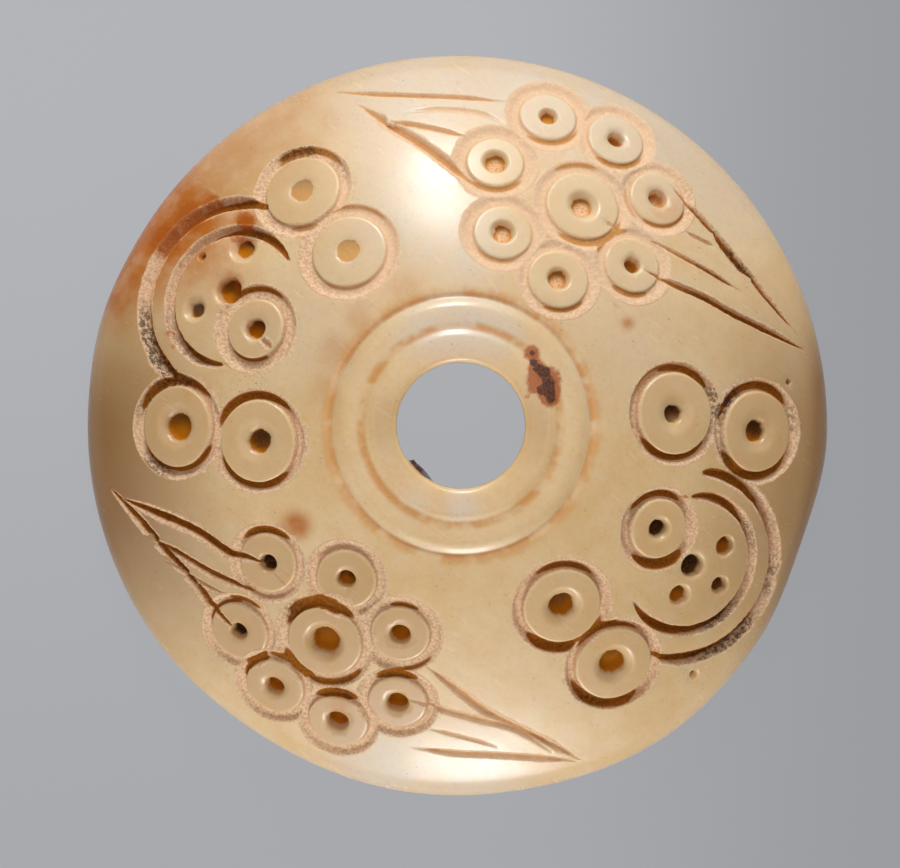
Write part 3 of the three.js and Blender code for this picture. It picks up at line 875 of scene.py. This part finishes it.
def ring_zone(graph, geometry, given, place):
    """Cuts one ring, dot and dish after another, by distance from each mark's centre in its own plane."""
    marks = graph.wire("GeometryNodeObjectInfo", None, {"Object": given["Marks"]}, "Geometry")
    component = {"component": "MESH"}
    count = graph.wire("GeometryNodeAttributeDomainSize", component, {"Geometry": marks}, "Point Count")
    start = graph.tree.nodes.new("GeometryNodeRepeatInput")
    end = graph.tree.nodes.new("GeometryNodeRepeatOutput")
    start.pair_with_output(end)
    end.repeat_items.clear()
    end.repeat_items.new("GEOMETRY", "Whorl")
    graph.tree.links.new(count.socket, start.inputs["Iterations"])
    graph.tree.links.new(geometry.socket, start.inputs["Whorl"])
    index = Wire(graph, start.outputs["Iteration"])
    body = Wire(graph, start.outputs["Whorl"])

    where = graph.wire("GeometryNodeInputPosition")
    vectors = {"data_type": "FLOAT_VECTOR"}
    centre = graph.wire("GeometryNodeSampleIndex", vectors, {0: marks, 1: where, "Index": index})
    square = sampled(graph, marks, index, "square", "FLOAT_VECTOR")
    disc, outer, dot, dish, drop, deep, slope = (
        sampled(graph, marks, index, name)
        for name in ("disc", "outer", "dot", "dish", "drop", "deep", "slope"))
    off = graph.vector("SUBTRACT", place, graph.vector("SCALE", centre, scale=1 / MM))
    lift = graph.vector("DOT_PRODUCT", off, square, output="Value")
    flat = graph.vector("SUBTRACT", off, graph.vector("SCALE", square, scale=lift))
    reach = graph.vector("LENGTH", flat, output="Value")
    near = lift.rise(-2.5, -1.5)
    wobble, chip, wear = named(graph, "wobble"), named(graph, "chip"), given["Edge Wear"]

    inside = (reach + wobble * 0.04 + chip * 0.03).rise(disc - wear, disc + 0.07)
    edge = reach + wobble * 0.1 + chip * 0.14
    groove = inside * edge.fall(outer + 0.05, outer + 0.16) * near
    cut = inside * edge.fall(outer - slope, outer + wear + 0.07) * near * deep
    # foot: the groove floor beside the disc, where the finish paints shade.
    foot = reach.fall(disc + 0.03, disc + 0.2) * groove
    drilled = (reach + wobble * 0.2 + chip * 0.22).fall(dot * 0.8, dot * 1.04) * near
    pit = drilled * drop * given["Dot Depth"]
    pit = pit + reach.fall(dot * 0.9, dish) * drop.rise(0.0, 0.15) * given["Dish Depth"] * near
    side = north_of(graph, flat) / dot
    plateau = reach.fall(disc - 0.1, disc) * near * deep.rise(0.0, 0.05)
    for name, value in (("groove", groove), ("cut", cut), ("foot", foot), ("pit", pit),
                        ("drilled", drilled), ("disc", plateau)):
        body = stored(graph, body, name, named(graph, name).most(value))
    # north: which side of a dot a place lies on, for the finish's painted shade.
    body = stored(graph, body, "north", named(graph, "north") + drilled.rise(0.0, 0.2) * side)
    graph.tree.links.new(body.socket, end.inputs["Whorl"])
    return Wire(graph, end.outputs["Whorl"])


def stroke_cut(graph, geometry, given):
    """Cuts the arcs and scored lines by distance from the nearest stroke, and paints shade along each one's
    middle.
    """
    lines = graph.wire("GeometryNodeObjectInfo", None, {"Object": given["Strokes"]}, "Geometry")
    proximity = graph.node("GeometryNodeProximity", {"target_element": "EDGES"}, {0: lines})
    away = Wire(graph, proximity.outputs["Distance"]) / MM
    index = graph.wire("GeometryNodeSampleNearest", {"domain": "POINT"}, {"Geometry": lines})
    half, deep, flat, stain = (
        sampled(graph, lines, index, name) for name in ("half", "deep", "flat", "stain"))
    worn = away + (named(graph, "wobble") * 0.1 + named(graph, "chip") * 0.16) * half.rise(0.0, 0.3)
    cut = worn.fall(half * flat, half * 1.1 + given["Edge Wear"]) * deep
    body = stored(graph, geometry, "cut", named(graph, "cut").most(cut))
    groove = worn.fall(half * 0.9, half * 1.5 + 0.02) * deep.rise(0.0, 0.2)
    body = stored(graph, body, "groove", named(graph, "groove").most(groove))
    # Painted shade along the stroke's middle, as strong as its stain column.
    core = worn.fall(half * 0.35, half * 0.95) * half.rise(0.0, 0.05) * stain
    return stored(graph, body, "resin", named(graph, "resin").most(core))


def marks_object():
    """One point for each ring or dot, with its radii and the dome's normal there."""
    table = np.array(ALL_RINGS + [(x, y, *NO_RING, *dot, *NO_GROOVE) for x, y, *dot in LONE_DOTS])
    mesh = bpy.data.meshes.new("whorl_marks")
    mesh.from_pydata((lifted(table[:, :2]) * MM).tolist(), [], [])
    for name, column in (("disc", 2), ("outer", 3), ("dot", 4), ("dish", 5), ("drop", 6), ("deep", 7),
                         ("slope", 8)):
        store(mesh, name, table[:, column])
    normals = mesh.attributes.new("square", "FLOAT_VECTOR", "POINT")
    normals.data.foreach_set("vector", dome_frames(table[:, :2])[0].astype(np.float32).ravel())
    return bpy.data.objects.new("whorl_marks", mesh)


def strokes_object():
    """The middle line of every arc and scored line, with its half-width, depth and flat share."""
    places, edges, half, deep, flat, shade_strength = [], [], [], [], [], []
    for run, widths, depths, share, stain in strokes():
        first = len(half)
        places.append(lifted(run))
        edges += [(i, i + 1) for i in range(first, first + len(run) - 1)]
        half += list(widths)
        deep += list(depths)
        flat += [share] * len(run)
        shade_strength += [stain] * len(run)
    mesh = bpy.data.meshes.new("whorl_strokes")
    mesh.from_pydata((np.vstack(places) * MM).tolist(), edges, [])
    for name, values in (("half", half), ("deep", deep), ("flat", flat), ("stain", shade_strength)):
        store(mesh, name, values)
    return bpy.data.objects.new("whorl_strokes", mesh)


# ---- The finish ------------------------------------------------------------------------------------


def bone_finish(colours):
    """Old polished bone: cream to honey, chalky in the cuts, amber in patches, with pores and dirt, and
    painted shade, shadow and sheen.
    """
    material = bpy.data.materials.new("polished old bone")
    material.use_nodes = True
    graph = Graph(material.node_tree)
    polished = material.node_tree.nodes["Principled BSDF"]
    place = graph.vector("SCALE", graph.wire("ShaderNodeTexCoord", output="Object"), scale=1 / MM)

    def mask(name):
        """A number that the mesh carries at each point."""
        return graph.wire("ShaderNodeAttribute", {"attribute_name": name}, output="Fac")

    groove, foot, drilled = mask("groove"), mask("foot"), mask("drilled")
    fibre = graph.wire("ShaderNodeMapping", None, {"Vector": place, "Rotation": (0, 0, math.radians(38))})
    streaky = graph.vector("MULTIPLY", fibre, (0.22, 1.6, 0.5))

    cloudy = graph.noise(place, 0.9, 2.0, 0.6)
    broad = graph.noise(fibre, 0.33, 4.0, 0.65) * 0.65 + cloudy * 0.35
    colour = graph.mix(broad.rise(0.35, 0.65), tuple(colours.cream), tuple(colours.honey))
    streak = graph.noise(streaky, 1.4, 3.0, 0.65)
    colour = graph.mix(streak.rise(0.35, 0.75) * 0.5, colour, tuple(colours.honey))
    # Paler patches, partly painted sheen.
    colour = graph.mix(mask("pale") * (cloudy.rise(0.3, 0.6) * 0.3 + 0.7), colour, tuple(colours.pale))
    stain = (mask("amber") * (cloudy.rise(0.3, 0.65) * 0.45 + 0.9)).least(1.0)
    stain = stain.most(streak.rise(0.58, 0.8) * cloudy.rise(0.45, 0.7) * 0.4)
    colour = graph.mix(stain, colour, tuple(colours.amber))

    # The moulding holds amber in its fillets. Painted shade darkens the left and right of the rim and of the
    # moulding's crown.
    apart = graph.node("ShaderNodeSeparateXYZ", None, {0: place})
    x, y = (Wire(graph, apart.outputs[name]) for name in ("X", "Y"))
    radius = ((x - HOLE_OFFSET).math("POWER", 2.0) + y.math("POWER", 2.0)).math("SQRT")
    inner_line = radius.rise(4.25, 4.5) * radius.fall(4.6, 4.9)
    outer_line = radius.rise(5.82, 5.96) * radius.fall(6.0, 6.6)
    line = inner_line.most(outer_line) * (cloudy.rise(0.36, 0.6) * 0.6 + 0.15)
    colour = graph.mix(line, colour, tuple(colours.light_gold))
    level = (y + 2.0).math("ABSOLUTE").fall(1.5, 11.0)
    painted_rim_shade = radius.rise(9.5, 17.2) * level * (x.fall(-12.0, -4.0) * 0.24 + 0.8)
    painted_crown_shade = radius.rise(3.0, 3.2) * radius.fall(3.8, 4.3) * y.math("ABSOLUTE").fall(0.0, 3.0) * 0.25
    painted_rim_shade = painted_rim_shade.most(painted_crown_shade)
    painted_rim_shade = painted_rim_shade.most(radius.rise(13.0, 16.5) * y.rise(6.0, 13.0) * 0.12) * (1 - mask("disc") * 0.55)
    painted_rim_shade = (painted_rim_shade + radius.rise(15.7, 16.9) * x.rise(11.0, 15.5) * y.fall(1.5, 5.5) * 0.45).least(1.0)
    colour = graph.mix(painted_rim_shade, colour, tuple(colours.rim_shade_and_patina))

    # Pores show as short dark flecks along the fibre, and here and there a black speck.
    dash = graph.vector("MULTIPLY", fibre, (1.3, 5.9, 2.0))
    cell = graph.wire("ShaderNodeTexVoronoi", {"feature": "F1"}, {"Vector": dash, "Scale": 1.0}, "Distance")
    fleck = cell.fall(0.05, 0.15) * cloudy.rise(0.46, 0.66)
    colour = graph.mix(fleck * 0.6, colour, tuple(colours.fleck))
    flake = graph.noise(place, 4.6, 3.0, 0.8)
    colour = graph.mix(flake.rise(0.48, 0.72) * 0.11, colour, tuple(colours.rim_shade_and_patina))
    grain = graph.noise(place, 8.0, 3.0, 0.75)
    colour = graph.mix(mask("specks") * grain.fall(0.33, 0.38), colour, tuple(colours.grime))

    # The cuts: chalk, then painted shade and shadow where the softboxes do not reach into them, then dirt.
    worked = groove.rise(0.06, 0.4)
    pale = y.rise(2.0, 8.0) * x.rise(-8.5, -4.0) * x.fall(9.6, 11.5)
    pale = pale.most(y.fall(-12.4, -10.9) * x.rise(-1.2, -0.4) * x.fall(3.6, 5.2) * 0.9)
    low = y.fall(-5.5, -3.5) * x.fall(-1.5, 0.5)
    # The standing discs: paler in the upper half, a painted sheen of their polish, and darker in the lower
    # half.
    standing = graph.mix(pale, tuple(colours.low_disc), tuple(colours.disc))
    colour = graph.mix(mask("disc") * (low * 0.3 + 0.35), colour, standing)
    speckle = grain.rise(0.38, 0.58).most(pale * 0.7)
    colour = graph.mix(worked, colour, graph.mix(speckle, tuple(colours.clay), tuple(colours.chalk)))
    # Painted shadow in the grooves, from the arc table and along the strokes' middles.
    resin = ((grain - 0.5) * 0.6 + mask("resin")).rise(0.15, 0.8) * mask("resin").rise(0.0, 0.15) * worked
    # Painted shade where the rays found the softboxes blocked.
    painted_ray_shade = mask("sheltered").rise(0.3, 0.9) * worked * (0.4 - pale * 0.25)
    # Painted shade along each disc's foot.
    edge = foot.rise(0.3, 0.9) * (grain.rise(0.3, 0.7) * 0.4 + 0.1)
    shade = resin.most(painted_ray_shade).most(edge)
    # The colour of the painted shadow, golden where the cuts are pale.
    painted_shadow_tint = graph.mix(pale * 0.8, tuple(colours.resin), tuple(colours.light_gold))
    colour = graph.mix(shade * (1.0 - pale * 0.2), colour, painted_shadow_tint)
    # The darkest painted shadow, deepest next to the disc's wall.
    darker = (grain.fall(0.35, 0.62) * 0.8).most(foot.rise(0.2, 0.9) * 0.6)
    colour = graph.mix(resin.rise(0.6, 1.0) * darker * (1 - pale * 0.8), colour, tuple(colours.brown))
    gold = graph.mix(pale, tuple(colours.gold), tuple(colours.light_gold))
    # Painted shade: the north side of each drilled dot turns dark brown.
    hole = graph.mix(mask("north").rise(-0.4, 0.9) * (1 - pale * 0.5), gold, tuple(colours.brown))
    hole = graph.mix(mask("pit").fall(0.05, 0.3) * 0.4, hole, tuple(colours.honey))
    hole = graph.mix(mask("grit") * (grain.rise(0.4, 0.6) * 0.5 + 0.45), hole, tuple(colours.chalk))
    hole = graph.mix(mask("grit") * grain.fall(0.32, 0.44) * 0.6, hole, tuple(colours.fleck))
    hole = graph.mix(mask("soot") * (grain.rise(0.4, 0.6) * 0.3 + 0.7), hole, tuple(colours.grime))
    colour = graph.mix(drilled.rise(0.15, 0.6), colour, hole)
    deep = groove.rise(0.35, 0.8).most(drilled.rise(0.25, 0.6))
    dirt = mask("grime") * deep * flake.rise(0.42, 0.58) * 0.85
    colour = graph.mix(dirt, colour, tuple(colours.grime))

    # Rust beside the hole and in the left arcs, and crust inside the hole.
    uneven = (flake - 0.5) * 1.6
    halo = (mask("halo") + uneven * 0.6).rise(0.25, 0.75) * mask("halo").rise(0.0, 0.2)
    colour = graph.mix(halo * 0.9, colour, tuple(colours.rust))
    core = (mask("rust") + uneven).rise(0.3, 0.6) * mask("rust").rise(0.0, 0.15)
    crumb = graph.mix(grain.rise(0.46, 0.62) * 0.35, tuple(colours.dark_rust), tuple(colours.rust))
    colour = graph.mix(core * 0.95, colour, crumb)
    colour = graph.mix(mask("crust").rise(0.1, 0.4), colour, tuple(colours.dark_rust))

    # Polish on the face, none in the cuts.
    dull = worked.most(drilled.rise(0.1, 0.4)).most(mask("rust"))
    rough = streak * 0.16 + 0.17 + dull * 0.45
    scratch = graph.noise(graph.vector("MULTIPLY", fibre, (0.3, 14.0, 1.0)), 1.5, 1.0)
    relief = grain * (worked * (1 - pale * 0.6) + 0.02) + scratch * 0.03
    bump = graph.wire("ShaderNodeBump", None, {"Strength": 0.7, "Distance": 0.09 * MM, "Height": relief})

    for name, value in {"Subsurface Weight": 0.6, "Subsurface Scale": 0.9 * MM, "IOR": 1.48,
                        "Specular IOR Level": 0.65, "Subsurface Radius": (1.0, 0.48, 0.2)}.items():
        polished.inputs[name].default_value = value
    for name, value in {"Base Color": colour, "Roughness": rough, "Normal": bump}.items():
        material.node_tree.links.new(value.socket, polished.inputs[name])
    matt = {"Base Color": colour, "Normal": bump, "Roughness": 0.85, "Specular IOR Level": 0.08}
    chalky = graph.node("ShaderNodeBsdfPrincipled", None, matt)
    share = worked.most(drilled.rise(0.2, 0.6)) * 0.9
    both = graph.node("ShaderNodeMixShader", None, {0: share, 1: Wire(graph, polished.outputs[0]),
                                                    2: Wire(graph, chalky.outputs[0])})
    out = material.node_tree.nodes["Material Output"]
    material.node_tree.links.new(both.outputs[0], out.inputs["Surface"])
    return material


# ---- Properties, operators and panel ----------------------------------------------------------------


def colour_property(name, description, default):
    """An opaque colour with its default as red, green and blue."""
    return bpy.props.FloatVectorProperty(
        name=name, description=description, subtype="COLOR", size=4, min=0, max=1, default=(*default, 1.0))


def length_property(name, description, default):
    """A length in metres."""
    return bpy.props.FloatProperty(
        name=name, description=description, default=default, unit="LENGTH", subtype="DISTANCE", min=0,
        precision=5)


def share_property(name, description, default):
    """A share of something, from 0 up."""
    return bpy.props.FloatProperty(
        name=name, description=description, default=default, min=0, subtype="FACTOR")


class WhorlCarving(bpy.types.PropertyGroup):
    """How deep and how worn the cuts are"""

    groove_depth: share_property("Groove depth", "Share of its named depth that each groove is cut to", 1.0)
    dot_depth: share_property("Dot depth", "Share of its named depth that each dot is drilled to", 1.0)
    dish_depth: length_property("Dish depth", "Depth of the dish worn round a dot", 0.23 * MM)
    edge_wear: length_property("Edge wear", "How far a cut's edge is rounded over", 0.03 * MM)
    grit: length_property("Grit", "Unevenness of the cut floors", 0.06 * MM)
    seed: bpy.props.FloatProperty(
        name="Seed", description="Place in the noise that all wear is drawn from", default=0)


class WhorlColours(bpy.types.PropertyGroup):
    """The colours of the bone and of what lies on it"""

    cream: colour_property("Cream", "The lightest polished bone", (0.85, 0.63, 0.365))
    honey: colour_property("Honey", "The warmer polished bone", (0.80, 0.548, 0.273))
    amber: colour_property("Amber", "Stain along the rim and in the moulding", (0.54, 0.165, 0.018))
    low_disc: colour_property("Low disc", "The warmer polish on the lower half's discs", (0.58, 0.35, 0.155))
    # The paler disc colour is a painted sheen of the polish.
    disc: colour_property("Disc", "The paler polish on the standing discs", (0.82, 0.64, 0.42))
    # The colour of the painted shadow in the grooves.
    resin: colour_property("Resin", "Resin-brown gathered in the grooves", (0.42, 0.125, 0.005))
    gold: colour_property("Gold", "The lighter side of the drilled dots", (0.56, 0.185, 0.004))
    light_gold: colour_property("Light gold", "The drilled dots where the bone is pale", (0.70, 0.29, 0.04))
    # Paler bone, and painted sheen where the polish catches the softboxes.
    pale: colour_property("Pale", "Whiter patches of the polished bone", (0.78, 0.665, 0.525))
    # Painted shade at the left and right of the rim and on the moulding's crown, and the darker flakes of the
    # bone.
    rim_shade_and_patina: colour_property("Patina", "The darker bone towards the rim", (0.35, 0.182, 0.064))
    chalk: colour_property("Chalk", "The lightest grains on the unpolished cuts", (0.93, 0.65, 0.42))
    clay: colour_property("Clay", "The darker grains on the unpolished cuts", (0.70, 0.42, 0.23))
    # The colour of painted shade in the dots and in the deepest grooves.
    brown: colour_property("Brown", "The darkest parts of the drilled dots", (0.17, 0.055, 0.007))
    grime: colour_property("Grime", "Dirt packed in the cuts", (0.03, 0.02, 0.014))
    fleck: colour_property("Fleck", "Pores in the bone", (0.22, 0.15, 0.08))
    rust: colour_property("Rust", "The halo of the iron stain", (0.46, 0.11, 0.006))
    dark_rust: colour_property("Dark rust", "The crust of the iron stain", (0.06, 0.014, 0.006))


class WhorlStudio(bpy.types.PropertyGroup):
    """The lights, the stage and the lens"""

    key_power: bpy.props.FloatProperty(
        name="Key", description="Power of the upper softbox", default=1.1, unit="POWER")
    low_power: bpy.props.FloatProperty(
        name="Low", description="Power of the low softbox", default=0.87, unit="POWER")
    fill: bpy.props.FloatProperty(
        name="Fill", description="Brightness of the dark parts of the room", default=0.02, min=0)
    floor: colour_property("Floor", "The pale stage", (0.455, 0.462, 0.49))
    glow: bpy.props.FloatProperty(
        name="Glow", description="Share of the stage that shines by itself", default=0.93, min=0, max=1,
        subtype="FACTOR")
    frame_width: length_property("Frame width", "Width that the camera takes in at the rim", 41.4 * MM)
    distance: length_property("Distance", "How far above the whorl the camera stands", 1.2)


class WHORL_OT_carve(bpy.types.Operator):
    """Turn the blank, cut its marks and give it its finish"""

    bl_idname = "whorl.carve"
    bl_label = "Carve the whorl"

    def execute(self, context):
        sizes = context.scene.whorl_carving
        blank = blank_mesh()
        paint_blank(blank)
        work = bpy.data.objects.new("whorl_blank", blank)
        tools = [marks_object(), strokes_object()]
        for item in (work, *tools):
            context.scene.collection.objects.link(item)
        tree, names = carving_tree()
        modifier = work.modifiers.new("Carving", "NODES")
        modifier.node_group = tree
        values = {
            "Marks": tools[0], "Strokes": tools[1], "Groove Depth": sizes.groove_depth,
            "Dot Depth": sizes.dot_depth, "Dish Depth": sizes.dish_depth / MM, "Seed": sizes.seed,
            "Edge Wear": sizes.edge_wear / MM, "Grit": sizes.grit / MM,
            "Finish": bone_finish(context.scene.whorl_colours),
            "Key Way": direction(*KEY_WAY), "Low Way": direction(*LOW_WAY),
        }
        for name, value in values.items():
            modifier[names[name]] = value
        context.view_layer.update()
        carved = bpy.data.meshes.new_from_object(work.evaluated_get(context.evaluated_depsgraph_get()))
        if len(carved.polygons) < len(blank.polygons):
            raise RuntimeError("the carving tree lost faces of the blank")
        carved.name = "carved_bone_whorl"
        piece = bpy.data.objects.new("carved_bone_whorl", carved)
        context.scene.collection.objects.link(piece)
        for item in (work, *tools):
            bpy.data.objects.remove(item)
        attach(piece, "root")
        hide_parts("whorl")
        return {"FINISHED"}


class WHORL_OT_stage(bpy.types.Operator):
    """Lay the pale floor and set the room, the two softboxes and the camera"""

    bl_idname = "whorl.stage"
    bl_label = "Set the stage"

    def execute(self, context):
        studio = context.scene.whorl_studio
        stage_floor(context, studio)
        room_light(context.scene, studio)
        softbox(context, "upper softbox", studio.key_power, KEY_WAY, KEY_SIZE)
        softbox(context, "low softbox", studio.low_power, LOW_WAY, LOW_SIZE)
        overhead_camera(context, studio)
        context.scene.view_settings.view_transform = "Standard"
        return {"FINISHED"}


def stage_floor(context, studio):
    """A pale floor that shines by itself and so stays even, with painted shade making it a little darker to
    the south and east.
    """
    mesh = bpy.data.meshes.new("stage_floor")
    ways = ((-1, -1), (1, -1), (1, 1), (-1, 1))
    corners = [(x * FLOOR_HALF, y * FLOOR_HALF, CAD_BOX[0][2]) for x, y in ways]
    mesh.from_pydata(corners, [], [(0, 1, 2, 3)])
    floor = bpy.data.objects.new("stage_floor", mesh)
    context.scene.collection.objects.link(floor)
    material = bpy.data.materials.new("pale stage")
    material.use_nodes = True
    graph = Graph(material.node_tree)
    shader = material.node_tree.nodes["Principled BSDF"]
    place = graph.wire("ShaderNodeTexCoord", output="Object")
    split = graph.node("ShaderNodeSeparateXYZ", None, {0: place})
    x, y = (Wire(graph, split.outputs[name]) for name in ("X", "Y"))
    near, east = (
        (*(part * share for part in studio.floor[:3]), 1.0) for share in (NEAR_FLOOR_SHARE, EAST_FLOOR_SHARE))
    tone = graph.mix(y.rise(*NEAR_FLOOR_EDGE), near, tuple(studio.floor))
    tone = graph.mix(x.rise(*EAST_FLOOR_EDGE), tone, east)
    shader.inputs["Roughness"].default_value = 0.9
    shader.inputs["Emission Strength"].default_value = studio.glow
    shader.inputs["Specular IOR Level"].default_value = 0.1
    material.node_tree.links.new(tone.socket, shader.inputs["Emission Color"])
    lit = graph.mix(1 - studio.glow, (0.0, 0.0, 0.0, 1.0), tone)
    material.node_tree.links.new(lit.socket, shader.inputs["Base Color"])
    mesh.materials.append(material)


def room_light(scene, studio):
    """A room that is bright to the north and south and dark at the sides."""
    world = bpy.data.worlds.new("room")
    scene.world = world
    world.use_nodes = True
    graph = Graph(world.node_tree)
    back = world.node_tree.nodes["Background"]
    way = graph.wire("ShaderNodeTexCoord", output="Generated")
    glow = studio.fill
    for azimuth, zenith, half, brightness in SOFT_WINDOWS:
        toward = graph.vector("DOT_PRODUCT", way, tuple(direction(azimuth, zenith)), output="Value")
        glow = toward.rise(math.cos(math.radians(half)), 1.0) * brightness + glow
    seen = graph.wire("ShaderNodeLightPath", output="Is Camera Ray")
    plain = (1 - seen) * glow + seen * BACKDROP_BRIGHTNESS
    world.node_tree.links.new(plain.socket, back.inputs["Strength"])
    back.inputs["Color"].default_value = (1.0, 1.0, 1.0, 1.0)


def direction(azimuth, zenith):
    """The way towards an azimuth and an angle from straight up, both in degrees."""
    turn, tip = math.radians(azimuth), math.radians(zenith)
    return Vector((math.cos(turn) * math.sin(tip), math.sin(turn) * math.sin(tip), math.cos(tip)))


def softbox(context, name, power, toward, size):
    """A rectangular light at an azimuth and an angle from straight up, in degrees, that faces the whorl."""
    light = bpy.data.lights.new(name, "AREA")
    light.energy = power
    light.shape = "RECTANGLE"
    light.size, light.size_y = size
    way = direction(*toward)
    holder = bpy.data.objects.new(name, light)
    holder.location = way * SOFTBOX_DISTANCE
    holder.rotation_euler = way.to_track_quat("Z", "Y").to_euler()
    context.scene.collection.objects.link(holder)


def overhead_camera(context, studio):
    """A long lens straight above, with the whorl a little right of and above the middle of the frame."""
    camera = bpy.data.cameras.new("overhead")
    camera.sensor_width = SENSOR_WIDTH
    camera.lens = camera.sensor_width * studio.distance / studio.frame_width
    camera.clip_start, camera.clip_end = 0.01, 10
    holder = bpy.data.objects.new("overhead", camera)
    holder.location = (*LENS_ASIDE, CAD_BOX[0][2] + studio.distance)
    context.scene.collection.objects.link(holder)
    context.scene.camera = holder


class WHORL_PT_panel(bpy.types.Panel):
    """The whorl's settings and operators"""

    bl_label = "Spindle whorl"
    bl_idname = "WHORL_PT_panel"
    bl_space_type = "VIEW_3D"
    bl_region_type = "UI"
    bl_category = "Whorl"

    def draw(self, context):
        for operator, settings in ((WHORL_OT_carve, "whorl_carving"), (None, "whorl_colours"),
                                   (WHORL_OT_stage, "whorl_studio")):
            column = self.layout.column(align=True)
            for name in getattr(context.scene, settings).__annotations__:
                column.prop(getattr(context.scene, settings), name)
            if operator:
                self.layout.operator(operator.bl_idname)


CLASSES = (WhorlCarving, WhorlColours, WhorlStudio, WHORL_OT_carve, WHORL_OT_stage, WHORL_PT_panel)


def register():
    """Adds the classes, and their settings to the scene."""
    for item in CLASSES:
        bpy.utils.register_class(item)
    bpy.types.Scene.whorl_carving = bpy.props.PointerProperty(type=WhorlCarving)
    bpy.types.Scene.whorl_colours = bpy.props.PointerProperty(type=WhorlColours)
    bpy.types.Scene.whorl_studio = bpy.props.PointerProperty(type=WhorlStudio)


def unregister():
    """Takes away what register added."""
    for name in ("whorl_carving", "whorl_colours", "whorl_studio"):
        delattr(bpy.types.Scene, name)
    for item in reversed(CLASSES):
        bpy.utils.unregister_class(item)


def main():
    """Stages and carves the whorl."""
    register()
    bpy.ops.whorl.stage()
    bpy.ops.whorl.carve()


if __name__ == "__main__":
    main()
